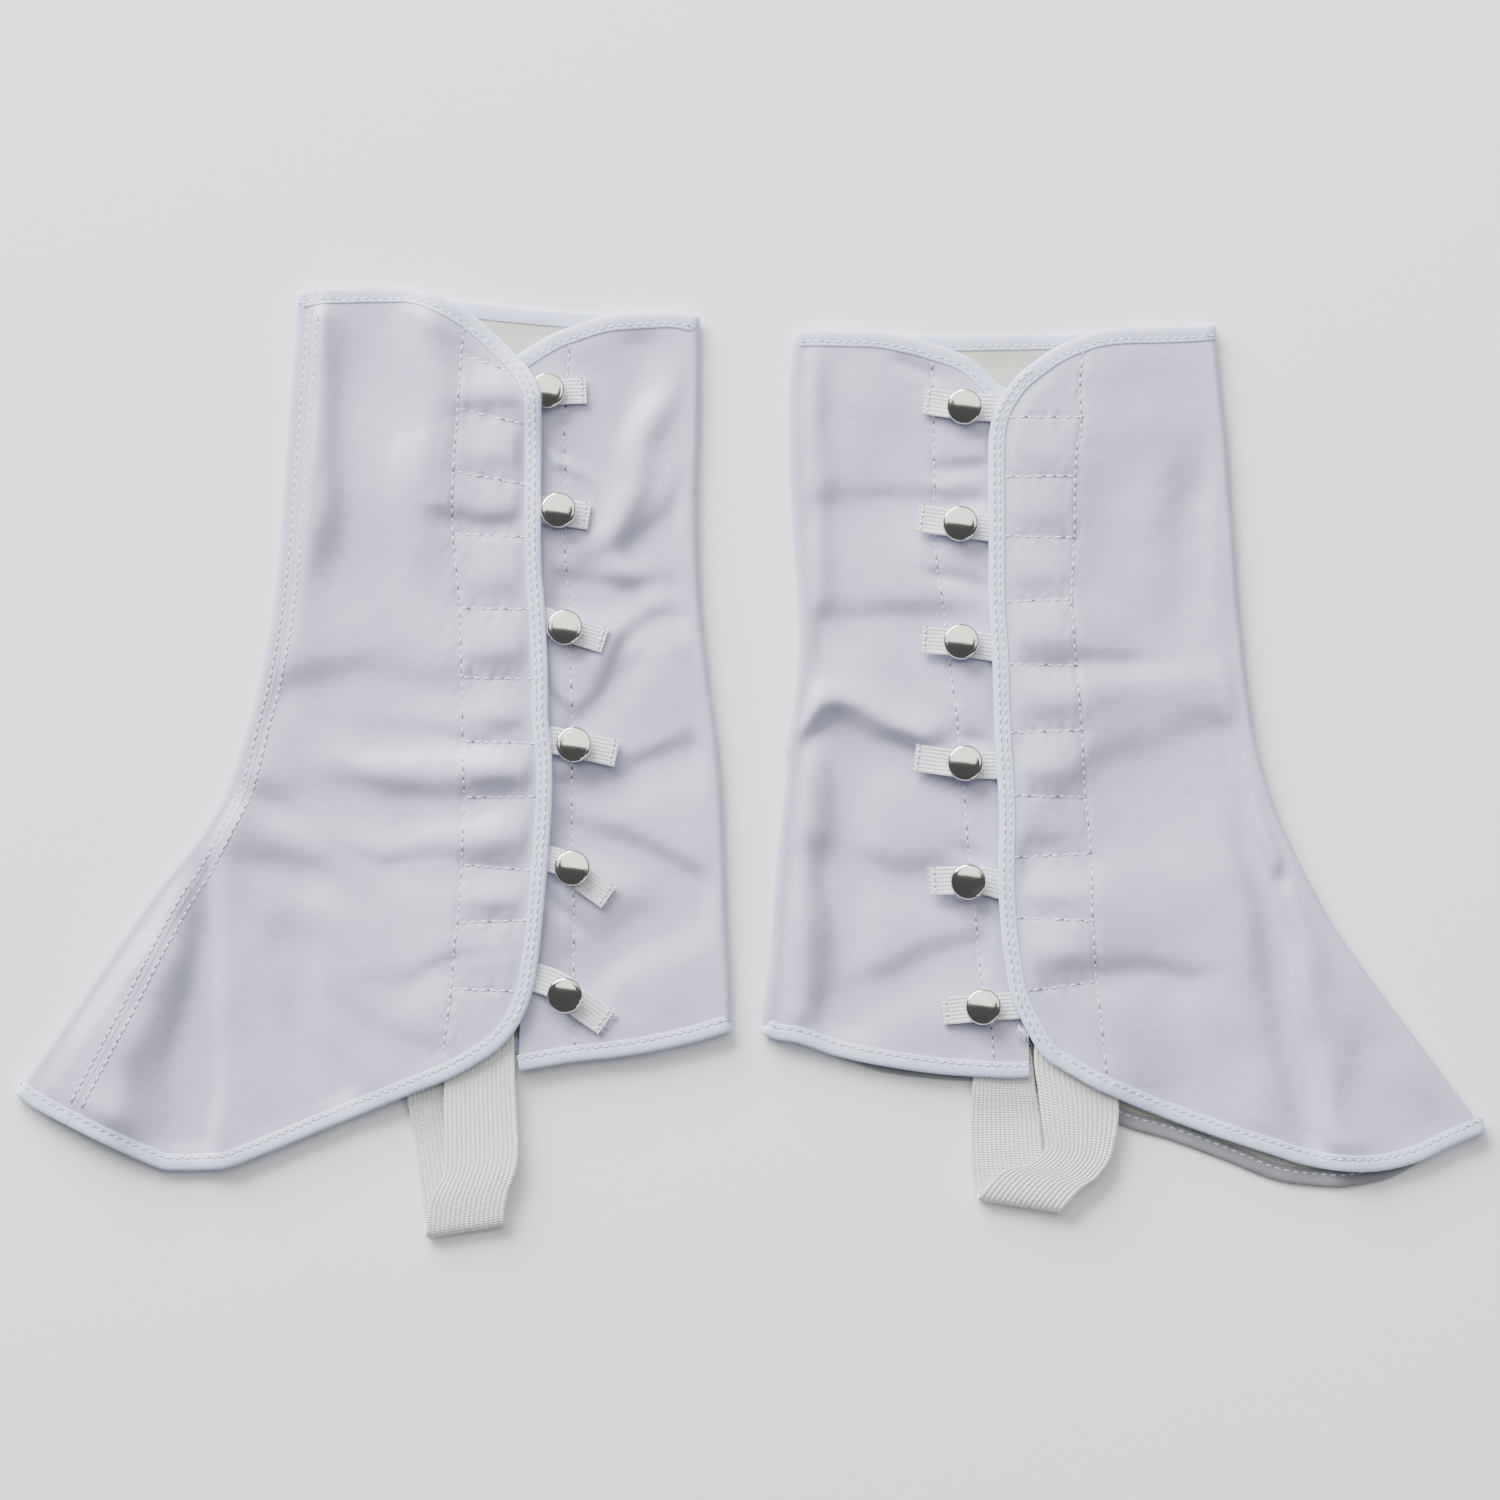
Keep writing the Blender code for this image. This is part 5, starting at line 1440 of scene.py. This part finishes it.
TAPE_PROFILE = (
    (6.0, 0.78), (5.6, 0.95), (5.0, 0.97), (4.4, 0.84), (3.8, 0.98), (2.9, 1.04), (2.0, 1.02),
    (1.2, 0.94), (0.5, 0.74), (0.12, 0.42), (0.0, 0.0), (0.12, -0.42), (0.5, -0.74),
    (1.2, -0.92), (3.0, -0.95), (5.5, -0.95), (6.0, -0.8), (6.0, -0.52), (1.0, -0.52),
    (0.62, 0.0), (1.0, 0.52), (6.0, 0.52))


@dataclass
class Declared:
    """A finished cloth piece's flat cut, how it is held, what it rests on and its area."""

    flat: tuple[float, float]
    held: str
    rests_on: Sequence[str]
    area: float | None = None


def finish_piece(piece: bpy.types.Object, replaces: Sequence[str],
                 cloth: Declared | None = None) -> bpy.types.Object:
    """Attach the piece to the root body, hide the solids it stands for, and log it.

    Args:
        piece: the finished object.
        replaces: solids that it stands for.
        cloth: its flat cut, where it is a sheet.

    Returns:
        The same object.
    """
    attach(piece, "root")
    if replaces:
        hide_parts(*replaces)
    if cloth is not None:
        list(cloth.rests_on)
    LOG.info("built %s with %d faces", piece.name, len(piece.data.polygons))
    return piece


@dataclass
class Spat:
    """One spat: its three cloth quarters, tapes, tabs, buttons, strap and stitching."""

    pattern: Pattern
    finishes: Finishes
    rows: int = 200
    front_columns: int = 120
    rear_columns: int = 84
    inner_columns: int = 70
    runs: list[StitchRun] = field(default_factory=list)

    def __post_init__(self) -> None:
        """Work out the plan quarters and the upper surfaces."""
        self.name = self.pattern.side.value
        self.front = front_quarter(self.pattern)
        self.rear = rear_quarter(self.pattern)
        self.front_surface = FrontSurface(self.pattern, self.front)
        self.rear_surface = RearSurface(self.pattern, self.rear)
        self.v = np.linspace(0.0, 1.0, self.rows + 1)
        table = np.asarray(FRONT_SEAM)
        self.seam = np.interp(self.v, table[:, 0], table[:, 1])

    def build(self) -> None:
        """Build and dress every piece."""
        self.build_front()
        self.build_rear()
        self.build_inner()
        self.build_tabs()
        self.build_buttons()
        self.build_strap()
        self.build_frays()
        self.build_stitches()

    def upper(self, quarter: Quarter, u: Array, height: Callable[[Array], Array]) -> Array:
        """Grid of the upper side at shares u, one row for each cloth row."""
        v = np.repeat(self.v[:, None], u.shape[1], axis=1)
        plan = quarter.plan(u, v)
        return np.dstack([plan, height(plan)])

    def edge_gap(self, quarter: Quarter, plan: Array) -> Array:
        """Distance to the nearer of the quarter's top and hem outlines."""
        return path_gap(plan, np.vstack([quarter.top_outline, quarter.hem_outline]))

    def lower(self, quarter: Quarter, u: Array) -> Array:
        """Grid of the side that lies on the table at shares u."""
        v = np.repeat(self.v[:, None], u.shape[1], axis=1)
        plan = quarter.plan(u, v)
        return np.dstack([plan, lower_height(self.edge_gap(quarter, plan))])

    def round_fold(self, quarter: Quarter) -> Array:
        """Grid round a fold for the cloth rows."""
        start = at_share(quarter.fold, self.v)
        low = lower_height(self.edge_gap(quarter, start))
        return fold_points(start, outward_at_fold(quarter, self.v),
                           np.full(len(start), UPPER_LAYER), low)

    def strip_shares(self, quarter: Quarter, widths: Array, columns: int) -> Array:
        """Shares of the columns of a strip beside the fold."""
        reach = widths / quarter.widths(self.v)
        return reach[:, None] * np.linspace(0.0, 1.0, columns + 1)[None, :]

    def tape_rails(self, quarter: Quarter, edge: Edge, u: Array,
                   height: Callable[[Array], Array] | None, under_width: float,
                   insets: Array) -> Array:
        """Rails of a tape: along the upper side, round the fold and back underneath.

        Args:
            quarter: the quarter that it binds.
            edge: its top or its hem.
            u: shares of the stations on the upper side, from the fold outwards.
            height: upper surface, or None for a tape that is all on the table.
            under_width: how far it goes back under the upper side, or 0 for no fold.
            insets: distances of the rails from the outline.

        Returns:
            Points, rails by stations by 3, from underneath round to the far end.
        """
        row = 0 if edge is Edge.TOP else -1
        outward = outward_at_fold(quarter, self.v[[row]])[0]
        rails = []
        for inset in insets:
            plan = quarter.rail(edge, u, inset)
            if height is None:
                rails.append(np.column_stack([plan, np.full(len(plan), TAPE_HALF)]))
                continue
            top = np.column_stack([plan, height(plan)])
            if not under_width:
                rails.append(top)
                continue
            start = quarter.rail(edge, np.array([0.0]), inset)
            fold = fold_points(start, outward[None, :], height(start),
                               np.array([TAPE_HALF]))[0]
            reach = under_width / quarter.widths(self.v[[row]])[0]
            shares = np.linspace(0.0, reach, max(4, int(under_width / 1.2)))
            under = quarter.rail(edge, shares, inset)
            low = np.column_stack([under, np.full(len(under), TAPE_HALF)])
            rails.append(np.concatenate([low[::-1], fold[::-1], top]))
        return np.asarray(rails)

    def far_rails(self, height: Callable[[Array], Array], insets: Array) -> Array:
        """Rails of the front tape along the flap edge."""
        share = np.linspace(0.0, 1.0, 230)[1:-1]
        outline = at_share(self.front.far_outline, share)
        inward = at_share(self.front.far, share) - outline
        inward /= np.linalg.norm(inward, axis=1, keepdims=True)
        rails = []
        for inset in insets:
            plan = outline + inward * inset
            rails.append(np.column_stack([plan, height(plan)]))
        return np.asarray(rails)

    def add_tape(self, piece: str, rails: Array, solids: Sequence[str],
                 rests_on: Sequence[str], finish: bpy.types.Material | None = None) -> None:
        """Folded tape on its rails, with its row of stitches.

        Args:
            piece: the piece's name without its side.
            rails: surface points under the tape.
            solids: solids that it stands for, without their side.
            rests_on: what it lies on.
            finish: its finish, where that isn't the white tape's.
        """
        tape = swept_section(f"{self.name}_{piece}", rails, TAPE_PROFILE,
                             finish or self.finishes.tape)
        length = path_length(rails[1])[-1] * MM
        cut = 0.0131
        finish_piece(tape, [f"{self.name}_{solid}" for solid in solids],
                     Declared((cut, round(length, 3)), "folded", rests_on,
                              round(cut * length * 0.99, 5)))
        self.stitch_on_rails(rails, 4.4, 0.84)

    def stitch_on_rails(self, rails: Array, inset: float, rise: float) -> None:
        """Row of stitches an inset in from the edge of a tape, where it lies face up."""
        normal = rail_normals(rails)
        step = TAPE_WIDTH / (len(rails) - 1)
        low = int(inset / step)
        part = inset / step - low
        surface = rails[low] * (1 - part) + rails[low + 1] * part
        facing = normal[low] * (1 - part) + normal[low + 1] * part
        shown = facing[:, 2] > 0.3
        if surface[shown, 2].mean() > 0 and shown.sum() > 4:
            path = surface[shown] + facing[shown] * rise
            self.runs.append(StitchRun(path, facing[shown], on_tape=True))

    def stitch_on_surface(self, plan: Array, height: Callable[[Array], Array],
                          pitch: float = STITCH_PITCH) -> None:
        """Row of stitches along a plan path on the upper side of a surface."""
        path = np.column_stack([plan, height(plan) + CLOTH_HALF])
        normal = np.tile(np.array((0.0, 0.0, 1.0)), (len(path), 1))
        self.runs.append(StitchRun(path, normal, pitch))

    def build_front(self) -> None:
        """Front quarter with its flap, its tape and its rows of stitching."""
        height = self.front_surface.height
        widths = self.front.widths(self.v)
        start = (self.seam + SEAM_GAP) / widths if self.pattern.seam_on_top else 0 * self.v
        share = np.linspace(0.0, 1.0, self.front_columns + 1)[None, :]
        grid = self.upper(self.front, start[:, None] + (1 - start[:, None]) * share, height)
        if not self.pattern.seam_on_top:
            strip = self.lower(self.front, self.strip_shares(self.front, self.seam, 10))
            grid = np.concatenate([strip[:, ::-1], self.round_fold(self.front)[:, ::-1],
                                   grid], axis=1)
        piece = shell(f"{self.name}_front_cloth", grid, CLOTH_HALF,
                      [self.finishes.vinyl, self.finishes.lining])
        width, length, area = self.pattern.front_cut
        finish_piece(piece, [f"{self.name}_front_panel"],
                     Declared((width, length), "laid", [f"{self.name}_rear_cloth"], area))
        self.tape_front(height, float(start[0]), float(start[-1]))
        self.stitch_on_surface(self.front_surface.line, height)
        for row in self.front_surface.rows:
            self.stitch_on_surface(np.linspace(row[:2], row[2:4], 30), height)

    def tape_front(self, height: Callable[[Array], Array], top_start: float,
                   hem_start: float) -> None:
        """Tape round the top, flap edge and hem of the front quarter."""
        insets = np.linspace(0.0, TAPE_WIDTH, 5)
        under_top = 0.0 if self.pattern.seam_on_top else float(self.seam[0])
        under_hem = 0.0 if self.pattern.seam_on_top else float(self.seam[-1])
        top = self.tape_rails(self.front, Edge.TOP, np.linspace(top_start, 1.0, 90), height,
                              under_top, insets)
        hem = self.tape_rails(self.front, Edge.HEM, np.linspace(hem_start, 1.0, 170), height,
                              under_hem, insets)
        rails = np.concatenate([top, self.far_rails(height, insets), hem[:, ::-1]], axis=1)
        self.add_tape("front_tape", rails, ["front_binding"], [f"{self.name}_front_cloth"])
        self.stitch_on_rails(self.far_rails(height, insets), 2.3, 1.0)

    def build_rear(self) -> None:
        """Heel quarter round the heel fold to the back seam, with its two tapes."""
        height = self.rear_surface.height
        share = np.ones((self.rows + 1, 1)) * np.linspace(0.0, 1.0,
                                                          self.rear_columns + 1)[None, :]
        inset = np.full(self.rows + 1, BACK_SEAM_INSET)
        grid = np.concatenate([
            self.lower(self.rear, self.strip_shares(self.rear, inset, 14))[:, ::-1],
            self.round_fold(self.rear)[:, ::-1],
            self.upper(self.rear, share, height)], axis=1)
        piece = shell(f"{self.name}_rear_cloth", grid, CLOTH_HALF,
                      [self.finishes.vinyl, self.finishes.lining])
        width, length, area = self.pattern.rear_cut
        finish_piece(piece, [f"{self.name}_rear_panel"],
                     Declared((width, length), "laid", [f"{self.name}_inner_cloth"], area))
        insets = np.linspace(0.0, TAPE_WIDTH, 5)
        for edge, solid in ((Edge.TOP, "rear_top_binding"), (Edge.HEM, "rear_hem_binding")):
            rails = self.tape_rails(self.rear, edge, np.linspace(0.0, 1.0, 90), height,
                                    BACK_SEAM_INSET, insets)
            self.add_tape(f"rear_{edge.value}_tape", rails, [solid],
                          [f"{self.name}_rear_cloth"])
        self.stitch_on_surface(self.rear_surface.line, height)

    def build_inner(self) -> None:
        """Inner side on the table, and round the front fold where the seam is on top."""
        inset = np.full(self.rows + 1, BACK_SEAM_INSET + SEAM_GAP)
        back = self.side_line(self.rear, inset)
        front = self.side_line(self.front, 0 * self.v if self.pattern.seam_on_top
                               else self.seam + SEAM_GAP)
        under = inner_quarter(self.pattern, front, back)
        share = np.ones((self.rows + 1, 1)) * np.linspace(0.0, 1.0,
                                                          self.inner_columns + 1)[None, :]
        grid = self.lower(under, share)
        if self.pattern.seam_on_top:
            strip = self.upper(self.front, self.strip_shares(self.front, self.seam, 12),
                               self.front_surface.height)
            grid = np.concatenate([strip[:, ::-1], self.round_fold(self.front), grid], axis=1)
        piece = shell(f"{self.name}_inner_cloth", grid, CLOTH_HALF,
                      [self.finishes.vinyl, self.finishes.lining], outer_is_up=False)
        width, length, area = self.pattern.inner_cut
        finish_piece(piece, [f"{self.name}_inner_panel"],
                     Declared((width, length), "laid", [], area))
        insets = np.linspace(0.0, TAPE_WIDTH, 5)
        for edge, solid in ((Edge.TOP, "inner_top_binding"), (Edge.HEM, "inner_hem_binding")):
            rails = self.tape_rails(under, edge, np.linspace(0.0, 1.0, 150), None, 0.0, insets)
            if self.pattern.seam_on_top:
                rails = np.concatenate([self.wrapped_end(edge, insets), rails], axis=1)
            # On the right spat the inner hem tape takes the darker tape, painted shade under the front
            # layer.
            self.add_tape(f"inner_{edge.value}_tape", rails, [solid],
                          [f"{self.name}_inner_cloth"],
                          self.finishes.painted_shade_hem_tape
                          if edge is Edge.HEM and not self.pattern.seam_on_top else None)
        if self.pattern.seam_on_top:
            self.stitch_front_seam()

    def side_line(self, quarter: Quarter, widths: Array) -> Array:
        """Plan line beside a fold from the top outline to the hem outline."""
        reach = widths / quarter.widths(self.v)
        line = quarter.plan(reach[:, None], self.v[:, None])[:, 0]
        top = quarter.rail(Edge.TOP, reach[:1], 0.0)
        hem = quarter.rail(Edge.HEM, reach[-1:], 0.0)
        return np.vstack([top, line, hem])

    def wrapped_end(self, edge: Edge, insets: Array) -> Array:
        """Rails of the inner side's tape on the upper strip and round the front fold."""
        row = 0 if edge is Edge.TOP else -1
        height = self.front_surface.height
        outward = outward_at_fold(self.front, self.v[[row]])[0]
        reach = self.seam[row] / self.front.widths(self.v[[row]])[0]
        shares = np.linspace(reach, 0.0, max(4, int(self.seam[row] / 1.2)))
        rails = []
        for inset in insets:
            plan = self.front.rail(edge, shares, inset)
            strip = np.column_stack([plan, height(plan)])
            start = self.front.rail(edge, np.array([0.0]), inset)
            fold = fold_points(start, outward[None, :], height(start),
                               np.array([TAPE_HALF]))[0]
            rails.append(np.concatenate([strip, fold]))
        return np.asarray(rails)

    def stitch_front_seam(self) -> None:
        """Two rows of topstitching, one on each side of the front seam."""
        height = self.front_surface.height
        for offset in (-1.9, 2.1):
            reach = np.maximum(self.seam + offset, 0.6) / self.front.widths(self.v)
            line = self.front.plan(reach[:, None], self.v[:, None])[:, 0]
            self.stitch_on_surface(line[4:-4], height)

    def ribbon(self, name: str, left: Array, right: Array, z: Array, columns: int,
               ribs: int, material: bpy.types.Material) -> bpy.types.Object:
        """Ribbed elastic between two edge lines: its wall swells on each rib.

        Args:
            name: the piece's name.
            left: plan points of one edge.
            right: plan points of the other edge.
            z: heights of the middle line.
            columns: spans across.
            ribs: how many ribs run along it.
            material: its finish.

        Returns:
            The new object.
        """
        share = np.linspace(0.0, 1.0, columns + 1)[None, :, None]
        plan = left[:, None, :] * (1 - share) + right[:, None, :] * share
        height = z if z.ndim == 2 else np.repeat(z[:, None], columns + 1, axis=1)
        grid = np.dstack([plan, height])
        rib = np.abs(np.sin(math.pi * ribs * share[0, :, 0])) ** 0.6
        half = ELASTIC_WALL / 2 * (0.80 + 0.20 * rib)
        half_map = np.repeat(half[None, :], len(left), axis=0)
        middle = (left + right) / 2
        along = path_length(np.column_stack([middle, height[:, columns // 2]]))
        uv = np.stack(np.broadcast_arrays(along[:, None], share[..., 0] * ribs * RIB_PITCH),
                      axis=-1)
        return shell(name, grid, ELASTIC_WALL / 2, [material], uv=uv, half_map=half_map)

    def build_tabs(self) -> None:
        """Elastic tabs from under the flap to their sewn ends on the heel quarter."""
        for number, (width, knots) in enumerate(self.pattern.tabs, start=1):
            path = smooth_path(knots, 41)
            normal = inward_normals(path, path[20] + np.array((0.0, width)))
            left = path + normal * width / 2
            right = path - normal * width / 2
            z = self.tab_heights(len(path), 56)
            piece = self.ribbon(f"{self.name}_tab_elastic_{number}", left, right, z, 56, 7,
                                self.finishes.tab_elastic)
            length = path_length(path)[-1] * MM
            finish_piece(piece, [f"{self.name}_tab_{number}"],
                         Declared((TAB_CUT, round(length, 4)), "laid",
                                  [f"{self.name}_rear_cloth"]))
            end = at_lengths(path, np.array([length / MM - 1.6]))[0]
            across = normal[-1] * width * 0.46
            line = np.linspace(end - across, end + across, 12)
            lift = TAB_MIDDLE + ELASTIC_WALL / 2 * 0.95
            points = np.column_stack([line, np.full(len(line), lift)])
            self.runs.append(StitchRun(points, np.tile((0.0, 0.0, 1.0), (len(line), 1)), 2.2,
                                       on_tape=True))

    def tab_heights(self, stations: int, columns: int) -> Array:
        """Heights of a tab, its lower edge lifted between the flap and its sewn end."""
        along = np.linspace(0.0, 1.0, stations)[:, None]
        across = np.linspace(0.0, 1.0, columns + 1)[None, :]
        bow = smooth_step((along - 0.36) / 0.22) * smooth_step((1.0 - along) / 0.42)
        return TAB_MIDDLE + 0.95 * bow * across ** 2

    def build_buttons(self) -> None:
        """Domed buttons, each turned round its own axis and leaned a little."""
        for number, (x, y, lean, tip, _) in enumerate(self.pattern.buttons, start=1):
            node = f"{self.name}_button_{number}"
            low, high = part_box(node)
            base = low[2] / MM
            piece = Button(x, y, base, lean, tip).build(f"{self.name}_dome_button_{number}",
                                                   self.finishes.nickel)
            finish_piece(piece, [node])

    def build_strap(self) -> None:
        """Ribbed elastic under the foot, looped from the front hem to the inner hem."""
        rows = smooth_path(self.pattern.strap, 150)
        rows = np.asarray(rows)
        piece = self.ribbon(f"{self.name}_foot_elastic", rows[:, 0:2], rows[:, 2:4],
                            rows[:, 4], 112, 16, self.finishes.foot_elastic)
        middle = np.column_stack([(rows[:, 0:2] + rows[:, 2:4]) / 2, rows[:, 4]])
        length = path_length(middle)[-1] * MM
        width = np.linalg.norm(rows[:, 2:4] - rows[:, 0:2], axis=1).mean() * MM
        finish_piece(piece, [f"{self.name}_strap"],
                     Declared((round(float(width), 4), round(float(length), 4)), "folded", []))

    def build_stitches(self) -> None:
        """All thread of this spat as one piece."""
        piece = Stitcher().build(f"{self.name}_stitching", self.runs, self.finishes)
        finish_piece(piece, [])

    def build_frays(self) -> None:
        """Loose yarns at the cut ends of the elastic, as one piece."""
        points, quads, caps = [], [], []
        count = 0
        for number, fray in enumerate(self.pattern.frays):
            strand, sides, ends = fray.strands(self.pattern.seed + number)
            points.append(strand)
            quads.append(sides + count)
            caps.append(ends + count)
            count += len(strand)
        piece = new_mesh_object(f"{self.name}_frayed_yarns", np.concatenate(points),
                                (np.concatenate(quads), np.concatenate(caps)),
                                [self.finishes.thread], sharp_degrees=120.0)
        finish_piece(piece, [])


@dataclass
class Button:
    """Domed two-part button: a turned profile round its own axis."""

    x: float
    y: float
    base: float
    lean: float
    tip: float
    radius: float = 6.65
    height: float = 4.6
    spokes: int = 64

    def build(self, name: str, material: bpy.types.Material) -> bpy.types.Object:
        """Revolve the profile: dome, rolled rim, underside and neck.

        Args:
            name: the piece's name.
            material: its finish.

        Returns:
            The new object.
        """
        cap = np.linspace(0.0, 1.0, 13)[1:]
        cap_radius = 0.80 * self.radius
        across = cap_radius * cap
        up = self.height - 1.0 * cap ** 2
        shoulder = np.linspace(math.radians(68.0), math.radians(-62.0), 12)
        bend = self.radius - cap_radius - 0.06
        roll = np.stack([self.radius - bend + bend * np.cos(shoulder),
                         self.height - 2.22 + bend * np.sin(shoulder)], axis=1)
        under = np.array(((0.78, 0.27), (0.5, 0.25), (0.45, 0.0)))
        profile = np.vstack([np.stack([across, up], axis=1), roll,
                             under * np.array((self.radius, self.height))])
        angle = np.arange(self.spokes) * 2 * math.pi / self.spokes
        ring = np.stack([profile[:, :1] * np.cos(angle), profile[:, :1] * np.sin(angle),
                         np.repeat(profile[:, 1:], self.spokes, axis=1)], axis=-1)
        points = np.concatenate([ring.reshape(-1, 3), [[0.0, 0.0, self.height]],
                                 [[0.0, 0.0, 0.0]]])
        lean = math.radians(self.lean)
        tip = math.radians(self.tip)
        turned = points @ np.array(((math.cos(lean), 0.0, -math.sin(lean)), (0.0, 1.0, 0.0),
                                    (math.sin(lean), 0.0, math.cos(lean))))
        turned = turned @ np.array(((1.0, 0.0, 0.0), (0.0, math.cos(tip), math.sin(tip)),
                                    (0.0, -math.sin(tip), math.cos(tip))))
        turned += np.array((self.x, self.y, self.base - turned[:, 2].min()))
        count = len(profile)
        index = np.arange(count * self.spokes).reshape(count, self.spokes)
        around = np.concatenate([index, index[:, :1]], axis=1)
        quads = np.stack([around[:-1, :-1], around[1:, :-1], around[1:, 1:],
                          around[:-1, 1:]], axis=-1).reshape(-1, 4)
        tip = count * self.spokes
        top = np.stack([around[0, :-1], around[0, 1:], np.full(self.spokes, tip)], axis=1)
        bottom = np.stack([around[-1, 1:], around[-1, :-1],
                           np.full(self.spokes, tip + 1)], axis=1)
        return new_mesh_object(name, turned, (quads, top, bottom), [material],
                               sharp_degrees=70.0)


# Studio


@dataclass(frozen=True)
class Softbox:
    """An area light, aimed at the middle of the pair."""

    name: str
    place: tuple[float, float, float]
    width: float
    height: float
    power: float
    colour: tuple[float, float, float] = (1.0, 1.0, 1.0)


@dataclass
class Studio:
    """Pale table, soft lights and a camera that looks down on the pair."""

    frame_width: float = 0.555
    distance: float = 1.9
    tilt_degrees: float = 4.0
    softboxes: tuple[Softbox, ...] = (
        Softbox("window", (-1.86, 2.92, 1.62), 3.5, 2.2, 530.0),
        Softbox("overhead", (0.10, 0.80, 1.58), 2.6, 1.5, 29.0),
        Softbox("rim", (0.85, -0.95, 0.7), 0.7, 0.16, 2.8))
    room_strength: float = 0.10

    def build(self) -> None:
        """Floor, lights, world and camera."""
        self.build_floor()
        self.build_lights()
        self.build_camera()

    def build_floor(self) -> None:
        """A wide plain table just under the pair."""
        size = 3.0
        points = [(-size, -size, -0.0001), (size, -size, -0.0001), (size, size, -0.0001),
                  (-size, size, -0.0001)]
        mesh = bpy.data.meshes.new("table_top")
        mesh.from_pydata(points, [], [(0, 1, 2, 3)])
        mesh.materials.append(FloorFinish().make())
        floor = bpy.data.objects.new("table_top", mesh)
        bpy.context.scene.collection.objects.link(floor)

    def build_lights(self) -> None:
        """Softboxes that face the pair, in a pale even world."""
        for box in self.softboxes:
            light = bpy.data.lights.new(box.name, "AREA")
            light.shape = "RECTANGLE"
            light.size = box.width
            light.size_y = box.height
            light.energy = box.power
            light.color = box.colour
            lamp = bpy.data.objects.new(box.name, light)
            lamp.location = box.place
            lamp.rotation_euler = aim(box.place, (0.0, 0.0, 0.0))
            bpy.context.scene.collection.objects.link(lamp)
        world = bpy.data.worlds.new("pale_room")
        bpy.context.scene.world = world
        world.use_nodes = True
        world.node_tree.nodes["Background"].inputs["Color"].default_value = (0.9, 0.93, 1.0,
                                                                             1.0)
        world.node_tree.nodes["Background"].inputs["Strength"].default_value = (
            self.room_strength)

    def build_camera(self) -> None:
        """Camera over the pair, leaning a few degrees from the foot side."""
        target = np.array((-0.00023, 0.00359, 0.004))
        tilt = math.radians(self.tilt_degrees)
        place = target + self.distance * np.array((0.0, -math.sin(tilt), math.cos(tilt)))
        data = bpy.data.cameras.new("camera")
        data.sensor_width = 36.0
        data.lens = 36.0 * self.distance / self.frame_width
        camera = bpy.data.objects.new("camera", data)
        camera.location = place
        camera.rotation_euler = (tilt, 0.0, 0.0)
        bpy.context.scene.collection.objects.link(camera)
        bpy.context.scene.camera = camera


def aim(place: Sequence[float], target: Sequence[float]) -> tuple[float, float, float]:
    """Euler angles that point a lamp's -Z axis from its place at a target."""
    way = np.asarray(target) - np.asarray(place)
    flat = math.hypot(way[0], way[1])
    return math.atan2(flat, -way[2]), 0.0, math.atan2(-way[0], way[1])


def main() -> None:
    """Build the pair and the studio in order."""
    logging.basicConfig(level=logging.INFO, format="%(message)s")
    finishes = Finishes()
    for pattern in (LEFT_PATTERN, RIGHT_PATTERN):
        Spat(pattern, finishes).build()
    Studio().build()


if __name__ == "__main__":
    main()
